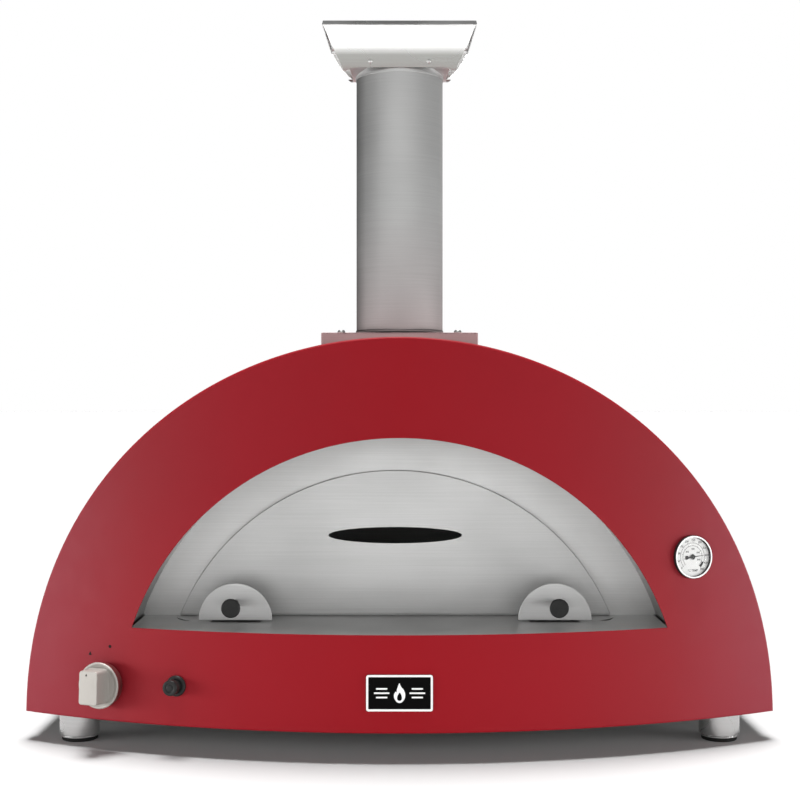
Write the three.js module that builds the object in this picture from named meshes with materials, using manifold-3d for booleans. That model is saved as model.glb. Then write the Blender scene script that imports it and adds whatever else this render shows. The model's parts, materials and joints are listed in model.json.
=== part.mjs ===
// Countertop gas pizza oven: a bowed half-disc front panel over an insulated arched chamber,
// with a lift-out door, a gas burner and its controls, a dial thermometer and a chimney.
// Millimetres. +X right, +Y to the back, +Z up. The front of the oven faces -Y.
// Design origin: floor level, middle of the width, foremost point of the front panel.
// The last lines move the origin to the middle of the depth.

import * as THREE from 'three';
import { mergeVertices } from 'three/addons/utils/BufferGeometryUtils.js';
import Module from 'manifold-3d';

// ---------------------------------------------------------------- driving dimensions

const DEPTH = 820; // foremost point of the panel to the tip of the gas inlet
const GAP = 0.3; // clearance between neighbouring pieces
const REACH = 2000; // longer than anything here, for cutting solids

// Every arch of the oven is struck about this height, on the middle plane.
const ARCH_Z = 45;

// Front panel: half ellipse, bowed in plan, leaning back as it rises.
const PANEL = { halfWidth: 562, rise: 556, baseZ: 43, thickness: 3, rimDepth: 25, rimThickness: 2.5 };
const BOW_RADIUS = 1190;
const LEAN = 0.045;

// Mouth of the panel and the recess behind it.
const MOUTH = { radius: 412, sillZ: 180 };
const SHELF = { halfWidth: 392, topZ: 179.5, thickness: 2, lip: 20, slotX: 320, slotY: 155 };
const LINING = { radius: 418, thickness: 1.5 }; // its edge hides behind the panel's mouth
const FACADE = { frontY: 195, thickness: 1.5, radius: 440, baseZ: 150, holeRadius: 340, holeZ: 183 };

// Outer dome, rear panel and base.
const DOME = { halfWidth: 556, rise: 550, thickness: 2, baseZ: 46 };
const REAR = { halfWidth: 560, rise: 554, faceY: 800, thickness: 2, rimDepth: 20 };
const BASE = { z: 43, thickness: 2, halfWidth: 552.5, flange: 27 };
const FOOT = { x: 483, frontY: 153, rearY: 700, radius: 30, padRadius: 26.5, padHeight: 5, studRadius: 5 };

// Cooking chamber.
const CHAMBER = { radius: 430, thickness: 2, baseZ: 120, frontY: 197, backY: 735 };
const INSULATION = { radius: 528, backThickness: 52 };
const FLOOR = { leftX: -335, rightX: 405, topZ: 182, tileThickness: 31.7, frontY: 200, backY: 734 };
const FLOOR_TRAY = { halfWidth: 420, topZ: 119.7, thickness: 1.7 };
const RAIL = { x: 300, width: 30, wall: 2 };

// Chimney.
const FLUE = { y: 312, radius: 70, wall: 1.5, topZ: 1054, spigotTopZ: 640 };
const FLUE_SEGMENTS = 32; // flats round every flue piece, so that their gaps stay even
const FLUE_BOX = { halfWidth: 122, halfDepth: 101, topZ: 616, wall: 2, screwX: 91, screwInset: 14 };
const CAP = { halfWidth: 121.3, rearHalfWidth: 116, radius: 90, centreZ: 1086, lipZ: 1097, roofZ: 1103.6, wall: 1.5 };
// Side edges of the cap sheets in front view, as [x, z] up from the foot.
const CAP_EDGE = {
  front: { foot: [88.3, 1033], bend: [98.5, 1048], topX: 120.8, middleZ: 1034.6, dip: 4.6 },
  rear: { foot: [68, 1044.5], bend: [100, 1062], topX: 114.8, middleZ: 1043, dip: 0 },
};
const SADDLE = { radius: 197, lowZ: 1033, halfDepth: 79, halfWidth: 76, flare: 10 };

// Controls and fittings on the front panel, placed by x and z on its face.
const KNOB = { x: -428, z: 97, radius: 33.5, back: 5, face: 22.5 };
const GRIP = { width: 31, reach: 24.5, radius: 28, face: 48 };
const SPINDLE_RADIUS = 4;
const IGNITER = { x: -320, z: 101, ringRadius: 15, ringFace: 5, capRadius: 11.2, capBack: 13.4, capFace: 24 };
const GAUGE = { x: 428.5, z: 281, radius: 31.5, depth: 6.8, dialRadius: 28, stemLength: 198, needleTurn: 5 };
const GAUGE_LEVELS = { seat: 1.2, dial: 2.1, needle: 2.6, glass: 4.6 }; // heights inside the case
const BADGE = { z: 100, width: 94, height: 51, corner: 4, thickness: 1.1 };

// Gas train.
const BURNER = { x: -375, z: 165, radius: 12, frontY: 330, backY: 700 };
const PIPE_RADIUS = 5;
const INLET = { x: -440, z: 85, radius: 11 };

// Door: stands on the shelf, slightly left of the middle, leaning on nothing.
const DOOR = { x: -6.6, radius: 358, baseZ: 181, frontY: 190, thickness: 1.5, hem: 4.4 };
const DOOR_SLOT = { z: 303, halfWidth: 102.5, halfHeight: 12.4 };
const BRACKET = { offsetX: 239, radius: 55, shoe: 38, frontY: 130, thickness: 2, baseZ: 181.7 };
const PEG = { z: 207.7, tipY: 72, tipRadius: 14, rootRadius: 5, studRadius: 3.5 };

// ---------------------------------------------------------------- materials

const RED = 0x9c1c28;
const STEEL = 0xb4b4b0;
const DARK_STEEL = 0x7d7d7a;
const BLACK = 0x1c1c1c;

function material(color, roughness, metalness) {
  return new THREE.MeshStandardMaterial({ color, roughness, metalness, flatShading: true });
}

const powderCoat = () => material(RED, 0.45, 0.1);
const brushedSteel = () => material(STEEL, 0.35, 1);
const plainSteel = () => material(DARK_STEEL, 0.5, 1);
const blackPlastic = () => material(BLACK, 0.4, 0);
const rubber = () => material(0x111111, 0.9, 0);
const ceramicWool = () => material(0xe8e4da, 1, 0);
const firebrick = () => material(0xc9b79a, 0.95, 0);
const satinNickel = () => material(0xc8c6c2, 0.3, 1);
const whiteEnamel = () => material(0xf2f2ee, 0.5, 0);
const glass = () => material(0xffffff, 0.05, 0);
const brass = () => material(0xb08d45, 0.35, 1);

// ---------------------------------------------------------------- solids

const wasm = await Module();
wasm.setup();

function signedVolume(points, triangles) {
  const [a, b, c] = [new THREE.Vector3(), new THREE.Vector3(), new THREE.Vector3()];
  let total = 0;
  for (let i = 0; i < triangles.length; i += 3) {
    a.fromArray(points, 3 * triangles[i]);
    b.fromArray(points, 3 * triangles[i + 1]);
    c.fromArray(points, 3 * triangles[i + 2]);
    total += a.dot(b.cross(c));
  }
  return total;
}

// A closed three.js geometry as a solid with its faces pointing out.
function solid(geometry) {
  const bare = new THREE.BufferGeometry();
  bare.setAttribute('position', geometry.getAttribute('position'));
  bare.setIndex(geometry.index);
  const merged = mergeVertices(bare, 1e-4);
  const vertProperties = new Float32Array(merged.getAttribute('position').array);
  const kept = [];
  for (let i = 0; i < merged.index.count; i += 3) {
    const [a, b, c] = [0, 1, 2].map((k) => merged.index.getX(i + k));
    if (a !== b && b !== c && c !== a) kept.push(a, b, c);
  }
  if (signedVolume(vertProperties, kept) < 0) kept.reverse();
  const triVerts = new Uint32Array(kept);
  return new wasm.Manifold(new wasm.Mesh({ numProp: 3, vertProperties, triVerts }));
}

function named(name, body, surface) {
  const { vertProperties, triVerts } = body.getMesh();
  const geometry = new THREE.BufferGeometry();
  geometry.setAttribute('position', new THREE.BufferAttribute(new Float32Array(vertProperties), 3));
  geometry.setIndex(new THREE.BufferAttribute(new Uint32Array(triVerts), 1));
  const mesh = new THREE.Mesh(geometry, surface);
  mesh.name = name;
  return mesh;
}

function extrude(shape, depth, segments) {
  return new THREE.ExtrudeGeometry(shape, { depth, bevelEnabled: false, curveSegments: segments });
}

// A front-view outline (x, z) run from one depth to another.
function alongY(shape, fromY, toY, segments = 16) {
  const geometry = extrude(shape, toY - fromY, segments);
  geometry.rotateX(Math.PI / 2);
  geometry.translate(0, toY, 0);
  return solid(geometry);
}

// A plan outline (x, y) run from one height to another.
function alongZ(shape, fromZ, toZ, segments = 12) {
  const geometry = extrude(shape, toZ - fromZ, segments);
  geometry.translate(0, 0, fromZ);
  return solid(geometry);
}

// A side-view outline (y, z) run from one x to another.
function alongX(shape, fromX, toX, segments = 12) {
  const geometry = extrude(shape, toX - fromX, segments);
  geometry.rotateX(Math.PI / 2);
  geometry.rotateZ(Math.PI / 2);
  geometry.translate(fromX, 0, 0);
  return solid(geometry);
}

function block(fromX, toX, fromY, toY, fromZ, toZ) {
  const geometry = new THREE.BoxGeometry(toX - fromX, toY - fromY, toZ - fromZ);
  geometry.translate((fromX + toX) / 2, (fromY + toY) / 2, (fromZ + toZ) / 2);
  return solid(geometry);
}

// A profile of [radius, height] points turned about the vertical line through (x, y).
function turned(profile, x = 0, y = 0, segments = 24) {
  const points = profile.map(([radius, height]) => new THREE.Vector2(radius, height));
  const geometry = new THREE.LatheGeometry(points, segments);
  geometry.rotateX(Math.PI / 2);
  geometry.translate(x, y, 0);
  return solid(geometry);
}

function disc(radius, fromZ, toZ, x = 0, y = 0, segments = 24) {
  return turned([[0, fromZ], [radius, fromZ], [radius, toZ], [0, toZ]], x, y, segments);
}

function ring(outer, inner, fromZ, toZ, x = 0, y = 0, segments = FLUE_SEGMENTS) {
  const profile = [[inner, fromZ], [outer, fromZ], [outer, toZ], [inner, toZ], [inner, fromZ]];
  return turned(profile, x, y, segments);
}

function polygon(points) {
  return new THREE.Shape(points.map(([u, v]) => new THREE.Vector2(u, v)));
}

function roundedRectangle(width, height, radius) {
  const [x, y] = [width / 2 - radius, height / 2 - radius];
  const shape = new THREE.Shape();
  shape.absarc(x, y, radius, 0, Math.PI / 2, false);
  shape.absarc(-x, y, radius, Math.PI / 2, Math.PI, false);
  shape.absarc(-x, -y, radius, Math.PI, 1.5 * Math.PI, false);
  shape.absarc(x, -y, radius, 1.5 * Math.PI, 2 * Math.PI, false);
  shape.closePath();
  return shape;
}

function pipe(points) {
  const curve = new THREE.CatmullRomCurve3(points.map((point) => new THREE.Vector3(...point)));
  const section = new THREE.Shape();
  section.absarc(0, 0, PIPE_RADIUS, 0, 2 * Math.PI, false);
  const options = { steps: 20, curveSegments: 4, bevelEnabled: false, extrudePath: curve };
  return solid(new THREE.ExtrudeGeometry(section, options));
}

// The part of an arch above baseZ, as a front-view outline struck about (x, ARCH_Z).
function archOutline(radius, baseZ, rise = radius, x = 0) {
  const start = Math.asin((baseZ - ARCH_Z) / rise);
  const shape = new THREE.Shape();
  shape.absellipse(x, ARCH_Z, radius, rise, start, Math.PI - start, false);
  shape.closePath();
  return shape;
}

// An arched sheet: the outline of the outer arch less the inner one, open at the bottom.
function archBand(radius, rise, thickness, baseZ) {
  const outerStart = Math.asin((baseZ - ARCH_Z) / rise);
  const innerStart = Math.asin((baseZ - ARCH_Z) / (rise - thickness));
  const shape = new THREE.Shape();
  shape.absellipse(0, ARCH_Z, radius, rise, outerStart, Math.PI - outerStart, false);
  const [insideX, insideZ] = [radius - thickness, rise - thickness];
  shape.absellipse(0, ARCH_Z, insideX, insideZ, Math.PI - innerStart, innerStart, true);
  shape.closePath();
  return shape;
}

// ---------------------------------------------------------------- the bowed front face

function faceY(x, z) {
  return BOW_RADIUS - Math.sqrt(BOW_RADIUS ** 2 - x ** 2) + LEAN * (z - PANEL.baseZ);
}

// Everything from `nearest` to `farthest` behind the front face; without `farthest`, all of it.
function behindFace(nearest, farthest) {
  const halfWidth = PANEL.halfWidth + 20;
  const half = Math.asin(halfWidth / BOW_RADIUS);
  const front = -Math.PI / 2;
  const shape = new THREE.Shape();
  shape.absarc(0, BOW_RADIUS + nearest, BOW_RADIUS, front - half, front + half, false);
  if (farthest === undefined) {
    shape.lineTo(halfWidth, REACH);
    shape.lineTo(-halfWidth, REACH);
  } else {
    shape.absarc(0, BOW_RADIUS + farthest, BOW_RADIUS, front + half, front - half, true);
  }
  shape.closePath();
  const geometry = extrude(shape, 700, 12);
  const lean = new THREE.Matrix4().set(1, 0, 0, 0, 0, 1, LEAN, -LEAN * PANEL.baseZ, 0, 0, 1, 0, 0, 0, 0, 1);
  geometry.applyMatrix4(lean);
  return solid(geometry);
}

// Plan outline of a level plate whose front edge follows the bow, `setBack` behind its foremost point.
function flatPlan(halfWidth, setBack, backY) {
  const half = Math.asin(Math.min(halfWidth, PANEL.halfWidth + 20) / BOW_RADIUS);
  const front = -Math.PI / 2;
  const shape = new THREE.Shape();
  shape.absarc(0, BOW_RADIUS + setBack, BOW_RADIUS, front - half, front + half, false);
  shape.lineTo(halfWidth, backY);
  shape.lineTo(-halfWidth, backY);
  shape.closePath();
  return shape;
}

// A frame standing on the front face at (x, z): local +Z out of the face, +Y up, +X right.
function faceFrame(x, z) {
  const outward = new THREE.Vector3(x / Math.sqrt(BOW_RADIUS ** 2 - x ** 2), -1, LEAN).normalize();
  const right = new THREE.Vector3(0, 0, 1).cross(outward).normalize();
  const up = outward.clone().cross(right);
  const frame = new THREE.Matrix4().makeBasis(right, up, outward);
  return frame.setPosition(x, faceY(x, z), z);
}

// A group whose pieces are built in the frame of a fitting on the front face.
function onFace(fitting, ...meshes) {
  const group = new THREE.Group();
  faceFrame(fitting.x, fitting.z).decompose(group.position, group.quaternion, group.scale);
  group.add(...meshes);
  return group;
}

// A round drill through the sheet under a fitting, from `outer` above the face to `inner` under it.
function drill(fitting, radius, inner = -12, outer = 12, segments = 16) {
  const profile = [[0, inner], [radius, inner], [radius, outer], [0, outer]];
  const points = profile.map(([r, height]) => new THREE.Vector2(r, height));
  const geometry = new THREE.LatheGeometry(points, segments);
  geometry.rotateX(Math.PI / 2);
  geometry.applyMatrix4(faceFrame(fitting.x, fitting.z));
  return solid(geometry);
}

// ---------------------------------------------------------------- casing

function frontPanel() {
  const sheetOutline = archOutline(PANEL.halfWidth, PANEL.baseZ, PANEL.rise);
  sheetOutline.holes.push(archOutline(MOUTH.radius, MOUTH.sillZ));
  const sheet = behindFace(0, PANEL.thickness).intersect(alongY(sheetOutline, -50, 400, 24));
  const inset = PANEL.rimThickness;
  const rimOutline = archOutline(PANEL.halfWidth, PANEL.baseZ, PANEL.rise);
  rimOutline.holes.push(archOutline(PANEL.halfWidth - inset, PANEL.baseZ + inset, PANEL.rise - inset));
  const rim = behindFace(0, PANEL.rimDepth).intersect(alongY(rimOutline, -50, 400, 24));
  return sheet.add(rim)
    .subtract(drill(KNOB, 9))
    .subtract(drill(IGNITER, 11))
    .subtract(drill(GAUGE, 6));
}

function domeShell() {
  const band = archBand(DOME.halfWidth, DOME.rise, DOME.thickness, DOME.baseZ);
  const backY = REAR.faceY - REAR.thickness - GAP;
  return alongY(band, -50, backY, 24)
    .intersect(behindFace(PANEL.thickness + GAP))
    .subtract(disc(FLUE.radius + 2, 560, 620, 0, FLUE.y));
}

function rearPanel() {
  const outline = archOutline(REAR.halfWidth, PANEL.baseZ, REAR.rise);
  for (const side of [-1, 1]) {
    for (let row = 0; row < 4; row += 1) {
      const slot = roundedRectangle(90, 7, 3).getPoints(1);
      const points = slot.map((p) => new THREE.Vector2(p.x + side * 230, p.y + 72 + 18 * row));
      outline.holes.push(new THREE.Path(points));
    }
  }
  const inlet = new THREE.Path().absarc(INLET.x, INLET.z, INLET.radius + 1, 0, 2 * Math.PI, false);
  outline.holes.push(inlet);
  const sheet = alongY(outline, REAR.faceY - REAR.thickness, REAR.faceY);
  const rimOutline = archBand(REAR.halfWidth, REAR.rise, PANEL.rimThickness, PANEL.baseZ);
  const rim = alongY(rimOutline, REAR.faceY - REAR.rimDepth, REAR.faceY);
  return sheet.add(rim);
}

function basePan() {
  const { z, thickness, halfWidth, flange } = BASE;
  const backY = REAR.faceY - REAR.thickness - GAP;
  const cornerY = faceY(halfWidth, z + flange) + PANEL.rimDepth + 1;
  const plan = flatPlan(halfWidth, PANEL.rimDepth + 1, backY);
  const left = block(-halfWidth, -halfWidth + thickness, cornerY, backY, z, z + flange);
  const right = block(halfWidth - thickness, halfWidth, cornerY, backY, z, z + flange);
  let pan = alongZ(plan, z, z + thickness).add(left).add(right);
  for (const [x, y] of footPlaces().values()) {
    pan = pan.subtract(disc(FOOT.studRadius + 1, 30, 60, x, y, 12));
  }
  return pan;
}

function footPlaces() {
  return new Map([
    ['front_left', [-FOOT.x, FOOT.frontY]],
    ['front_right', [FOOT.x, FOOT.frontY]],
    ['rear_left', [-FOOT.x, FOOT.rearY]],
    ['rear_right', [FOOT.x, FOOT.rearY]],
  ]);
}

function foot(x, y) {
  const { radius, padRadius, padHeight, studRadius } = FOOT;
  const shoulder = BASE.z - GAP;
  const profile = [[0, padHeight], [padRadius, padHeight], [padRadius, padHeight + 2], [radius, padHeight + 4],
    [radius, shoulder], [studRadius, shoulder], [studRadius, shoulder + 18], [0, shoulder + 18]];
  return turned(profile, x, y, 20);
}

function footPad(x, y) {
  const { padRadius, padHeight } = FOOT;
  const topZ = padHeight - GAP;
  const profile = [[0, 0], [padRadius - 1.5, 0], [padRadius, 1.5], [padRadius, topZ], [0, topZ]];
  return turned(profile, x, y, 20);
}

// ---------------------------------------------------------------- mouth recess

function mouthShelf() {
  const { halfWidth, topZ, thickness, lip, slotX, slotY } = SHELF;
  const near = PANEL.thickness + 2 * GAP + LEAN * (topZ - PANEL.baseZ);
  const bottomZ = topZ - thickness;
  const plate = alongZ(flatPlan(halfWidth, near, FACADE.frontY - GAP), bottomZ, topZ);
  const apron = alongZ(flatPlan(halfWidth, near, 400), topZ - lip, topZ)
    .subtract(alongZ(flatPlan(REACH, near + thickness, 500), topZ - lip - 1, topZ + 1));
  let shelf = plate.add(apron);
  for (const side of [-1, 1]) {
    const crescent = new THREE.Shape();
    crescent.moveTo(14, 18);
    crescent.quadraticCurveTo(1, -6, -13, -14);
    crescent.quadraticCurveTo(1, -24, 14, 18);
    const points = crescent.getPoints(4).map((p) => [DOOR.x + side * (slotX + p.x), slotY + p.y]);
    shelf = shelf.subtract(alongZ(polygon(points), bottomZ - 5, topZ + 5));
  }
  return shelf;
}

function mouthLining() {
  const outer = LINING.radius + LINING.thickness;
  const band = archBand(outer, outer, LINING.thickness, MOUTH.sillZ);
  return alongY(band, -50, FACADE.frontY - GAP, 20).intersect(behindFace(PANEL.thickness + GAP));
}

function facadePlate() {
  const outline = archOutline(FACADE.radius, FACADE.baseZ);
  outline.holes.push(archOutline(FACADE.holeRadius, FACADE.holeZ));
  return alongY(outline, FACADE.frontY, FACADE.frontY + FACADE.thickness);
}

// ---------------------------------------------------------------- chamber

function chamberArch() {
  const outer = CHAMBER.radius + CHAMBER.thickness;
  const band = archBand(outer, outer, CHAMBER.thickness, CHAMBER.baseZ);
  return alongY(band, CHAMBER.frontY, CHAMBER.backY)
    .subtract(disc(FLUE.radius - 2, 440, 520, 0, FLUE.y))
    .subtract(drill(GAUGE, 5, -GAUGE.stemLength - 40, 0, 12));
}

function chamberBack() {
  const outline = archOutline(FACADE.radius, CHAMBER.baseZ);
  return alongY(outline, CHAMBER.backY + GAP, CHAMBER.backY + GAP + CHAMBER.thickness);
}

function insulationArch() {
  const outer = INSULATION.radius;
  const band = archBand(outer, outer, outer - CHAMBER.radius - CHAMBER.thickness - GAP, CHAMBER.baseZ);
  return alongY(band, CHAMBER.frontY, CHAMBER.backY)
    .subtract(disc(FLUE.radius - 1, 440, 620, 0, FLUE.y))
    .subtract(drill(GAUGE, 5, -GAUGE.stemLength - 40, 0, 12));
}

function insulationBack() {
  const frontY = CHAMBER.backY + CHAMBER.thickness + 2 * GAP;
  return alongY(archOutline(INSULATION.radius, CHAMBER.baseZ), frontY, frontY + INSULATION.backThickness);
}

function floorInsulation() {
  const topZ = FLOOR.topZ - FLOOR.tileThickness - GAP;
  return block(FLOOR.leftX, FLOOR.rightX, FLOOR.frontY, FLOOR.backY, FLOOR_TRAY.topZ + GAP, topZ);
}

function floorTile(column) {
  const middle = (FLOOR.leftX + FLOOR.rightX) / 2;
  const fromX = column === 0 ? FLOOR.leftX : middle + GAP;
  const toX = column === 0 ? middle - GAP : FLOOR.rightX;
  return block(fromX, toX, FLOOR.frontY, FLOOR.backY, FLOOR.topZ - FLOOR.tileThickness, FLOOR.topZ);
}

function floorTray() {
  const { halfWidth, topZ, thickness } = FLOOR_TRAY;
  return block(-halfWidth, halfWidth, FLOOR.frontY, FLOOR.backY, topZ - thickness, topZ)
    .subtract(disc(PIPE_RADIUS + 2, 100, 130, BURNER.x, BURNER.frontY + 15, 16));
}

function floorRail(side) {
  const { x, width, wall } = RAIL;
  const fromZ = BASE.z + BASE.thickness + GAP;
  const toZ = FLOOR_TRAY.topZ - FLOOR_TRAY.thickness - GAP;
  const [left, right] = [side * x - width / 2, side * x + width / 2];
  const outline = polygon([[left, fromZ], [left + wall, fromZ], [left + wall, toZ - wall], [right - wall, toZ - wall],
    [right - wall, fromZ], [right, fromZ], [right, toZ], [left, toZ]]);
  return alongY(outline, FLOOR.frontY, FLOOR.backY);
}

// ---------------------------------------------------------------- chimney

function flueDuct() {
  const outer = FLUE.radius - FLUE.wall - 0.5;
  const inner = outer - FLUE.wall;
  const stand = block(-REACH, REACH, -REACH, REACH, 480, FLUE.spigotTopZ);
  return ring(outer, inner, 470, FLUE.spigotTopZ, 0, FLUE.y).intersect(stand);
}

function flueBox() {
  const { halfWidth, halfDepth, topZ, wall } = FLUE_BOX;
  const [frontY, backY] = [FLUE.y - halfDepth, FLUE.y + halfDepth];
  let box = block(-halfWidth, halfWidth, frontY, backY, 500, topZ)
    .subtract(block(-halfWidth + wall, halfWidth - wall, frontY + wall, backY - wall, 490, topZ - wall))
    .subtract(alongY(archOutline(DOME.halfWidth + GAP, 100, DOME.rise + GAP), 0, 900, 48))
    .subtract(disc(FLUE.radius - FLUE.wall - 0.2, 600, 630, 0, FLUE.y, FLUE_SEGMENTS));
  for (const [x, y] of screwPlaces()) {
    box = box.subtract(disc(2.4, 600, 630, x, y, 12));
  }
  return box;
}

function screwPlaces() {
  const y = FLUE_BOX.halfDepth - FLUE_BOX.screwInset;
  const corners = [[-1, -1], [1, -1], [-1, 1], [1, 1]];
  return corners.map(([sx, sy]) => [sx * FLUE_BOX.screwX, FLUE.y + sy * y]);
}

function boxScrew(x, y) {
  const seat = FLUE_BOX.topZ + GAP;
  const profile = [[0, seat - 12], [2, seat - 12], [2, seat], [6, seat], [6, seat + 1.8], [4.6, seat + 4],
    [0, seat + 4]];
  return turned(profile, x, y, 16);
}

function flueGasket() {
  const fromZ = FLUE_BOX.topZ + GAP;
  return ring(FLUE.radius + 1.5, FLUE.radius - FLUE.wall - 0.2, fromZ, fromZ + 3, 0, FLUE.y);
}

function fluePipe() {
  const fromZ = FLUE_BOX.topZ + 3 + 2 * GAP;
  return ring(FLUE.radius, FLUE.radius - FLUE.wall, fromZ, FLUE.topZ, 0, FLUE.y);
}

// Front view of a cap sheet: wide under the roof, drawn in along a curve to the flue, its foot corners dipping.
function capSheetOutline({ foot: [footX, footZ], bend: [bendX, bendZ], topX, middleZ, dip }) {
  const [flatX, cornerX, topZ] = [footX - 22, footX - 3, CAP.lipZ + 3];
  const shape = new THREE.Shape();
  shape.moveTo(-flatX, middleZ);
  shape.lineTo(flatX, middleZ);
  shape.quadraticCurveTo(flatX + 10, middleZ, cornerX, middleZ - dip);
  shape.lineTo(footX, footZ);
  shape.quadraticCurveTo(bendX, bendZ, topX, topZ);
  shape.lineTo(-topX, topZ);
  shape.quadraticCurveTo(-bendX, bendZ, -footX, footZ);
  shape.lineTo(-cornerX, middleZ - dip);
  shape.quadraticCurveTo(-flatX - 10, middleZ, -flatX, middleZ);
  return shape;
}

// The side section of the trough: a half circle whose sides run on up to the roof.
function capSheet(side) {
  const { radius, centreZ, lipZ, wall } = CAP;
  const section = new THREE.Shape();
  section.moveTo(-radius, lipZ);
  section.absarc(0, centreZ, radius, Math.PI, 2 * Math.PI, false);
  section.lineTo(radius, lipZ);
  section.lineTo(radius - wall, lipZ);
  section.absarc(0, centreZ, radius - wall, 2 * Math.PI, Math.PI, true);
  section.lineTo(-radius + wall, lipZ);
  section.closePath();
  const points = section.getPoints(16).map((p) => [p.x + FLUE.y, p.y]);
  const trough = alongX(polygon(points), -CAP.halfWidth - 10, CAP.halfWidth + 10);
  const fromY = side < 0 ? FLUE.y - 2 * radius : FLUE.y;
  const edge = side < 0 ? CAP_EDGE.front : CAP_EDGE.rear;
  return trough.intersect(alongY(capSheetOutline(edge), fromY, fromY + 2 * radius, 8));
}

// Dished plate that closes the trough round the flue, with the collar that slips over the pipe.
function capSaddle() {
  const { radius, lowZ, halfDepth, halfWidth, flare } = SADDLE;
  const half = Math.asin(halfDepth / radius);
  const section = new THREE.Shape();
  const [centreZ, down] = [lowZ + radius, 1.5 * Math.PI];
  section.absarc(FLUE.y, centreZ, radius, down - half, down + half, false);
  section.absarc(FLUE.y, centreZ, radius - CAP.wall, down + half, down - half, true);
  section.closePath();
  const plan = new THREE.Shape();
  plan.moveTo(-halfWidth - flare, FLUE.y - halfDepth);
  plan.lineTo(halfWidth + flare, FLUE.y - halfDepth);
  plan.quadraticCurveTo(halfWidth - flare, FLUE.y, halfWidth + flare, FLUE.y + halfDepth);
  plan.lineTo(-halfWidth - flare, FLUE.y + halfDepth);
  plan.quadraticCurveTo(-halfWidth + flare, FLUE.y, -halfWidth - flare, FLUE.y - halfDepth);
  const bore = FLUE.radius + GAP;
  const collar = ring(bore + 1.2, bore, lowZ - 4, lowZ + 24, 0, FLUE.y);
  const inside = block(-REACH, REACH, FLUE.y - halfDepth, FLUE.y + halfDepth, 0, REACH);
  return alongX(section, -100, 100, 8)
    .intersect(alongZ(plan, lowZ - 10, lowZ + 60, 8))
    .add(collar)
    .subtract(disc(bore, lowZ - 20, lowZ + 60, 0, FLUE.y, FLUE_SEGMENTS))
    .intersect(inside);
}

function capRoof() {
  const { halfWidth, rearHalfWidth, roofZ } = CAP;
  const [halfDepth, edge, sheet, fold] = [CAP.radius + 1, 1.2, 2, 6.3];
  const plan = (inset) => {
    const [front, back] = [FLUE.y - halfDepth - edge + inset, FLUE.y + halfDepth + edge - inset];
    const [wide, narrow] = [halfWidth - inset, rearHalfWidth - inset];
    return polygon([[-wide, front], [wide, front], [narrow, back], [-narrow, back]]);
  };
  return alongZ(plan(0), roofZ - fold, roofZ).subtract(alongZ(plan(edge), roofZ - fold - 5, roofZ - sheet));
}

// ---------------------------------------------------------------- controls

function controlKnob() {
  const { radius, back, face } = KNOB;
  const drum = turned([[0, back], [radius - 1, back], [radius, back + 1], [radius, face - 2.5], [radius - 2.5, face],
    [0, face]], 0, 0, 28);
  const slab = block(-GRIP.width / 2, GRIP.width / 2, -GRIP.reach, GRIP.reach, face - 1, GRIP.face);
  const grip = slab.intersect(disc(GRIP.radius, face - 2, GRIP.face + 1, 0, 0, 28));
  return drum.add(grip).subtract(disc(SPINDLE_RADIUS + GAP, back - 5, face - 3, 0, 0, 16));
}

function valveSpindle() {
  return disc(SPINDLE_RADIUS, -40, KNOB.face - 5, 0, 0, 16);
}

function gasValve() {
  const body = block(-17, 17, -16, 16, -60, -18);
  const nose = disc(8.5, -19, -PANEL.thickness - 1, 0, 0, 20);
  return body.add(nose).subtract(disc(SPINDLE_RADIUS + GAP, -46, 10, 0, 0, 16));
}

function igniterBody() {
  const { ringRadius, ringFace } = IGNITER;
  const seat = GAP;
  const profile = [[0, -40], [10.5, -40], [10.5, seat], [ringRadius, seat], [ringRadius, ringFace - 1.5],
    [ringRadius - 1.5, ringFace], [9.4, ringFace], [9.4, -12], [0, -12]];
  return turned(profile, 0, 0, 20);
}

function igniterButton() {
  const { capRadius, capBack, capFace } = IGNITER;
  const profile = [[0, -5], [9, -5], [9, capBack], [capRadius, capBack], [capRadius, capFace - 1.5],
    [capRadius - 1.5, capFace], [6, capFace], [5.2, capFace - 0.8], [0, capFace - 0.8]];
  return turned(profile, 0, 0, 20);
}

function gaugeCase() {
  const { radius, depth, dialRadius } = GAUGE;
  const { seat } = GAUGE_LEVELS;
  const [recess, bore] = [dialRadius + GAP, 3.5];
  const profile = [[bore, GAP], [radius - 1, GAP], [radius, 1.3], [radius, depth - 1.5], [radius - 1.5, depth],
    [recess + 0.6, depth], [recess, depth - 0.8], [recess, seat], [bore, seat], [bore, GAP]];
  return turned(profile, 0, 0, 28);
}

function gaugeNeedle() {
  const tip = 21;
  const [bottom, top] = [GAUGE_LEVELS.needle, GAUGE_LEVELS.needle + 0.8];
  const outline = polygon([[3, -0.8], [tip, -0.25], [tip, 0.25], [3, 0.8]]);
  const blade = alongZ(outline, bottom, top);
  const hub = disc(4, bottom, top + 0.6, 0, 0, 16);
  const tail = block(-9, -3, -0.8, 0.8, bottom, top);
  const weight = disc(2.8, bottom, top, -10, 0, 12);
  return blade.add(hub).add(tail).add(weight);
}

function gaugeStem() {
  return turned([[0, -GAUGE.stemLength], [2.6, -GAUGE.stemLength + 2], [2.6, -8], [3.2, -8], [3.2, 0.9], [0, 0.9]],
    0, 0, 12);
}

// ---------------------------------------------------------------- gas train

function burnerTube() {
  const { x, z, radius, frontY, backY } = BURNER;
  const section = new THREE.Shape().absarc(x, z, radius, 0, 2 * Math.PI, false);
  const tube = alongY(section, frontY, backY, 8);
  let ports = tube;
  for (let y = frontY + 60; y < backY - 20; y += 40) {
    const slot = block(x - 1.2, x + 1.2, y, y + 18, z + 4, z + radius + 4);
    ports = ports.subtract(slot);
  }
  return ports;
}

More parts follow.
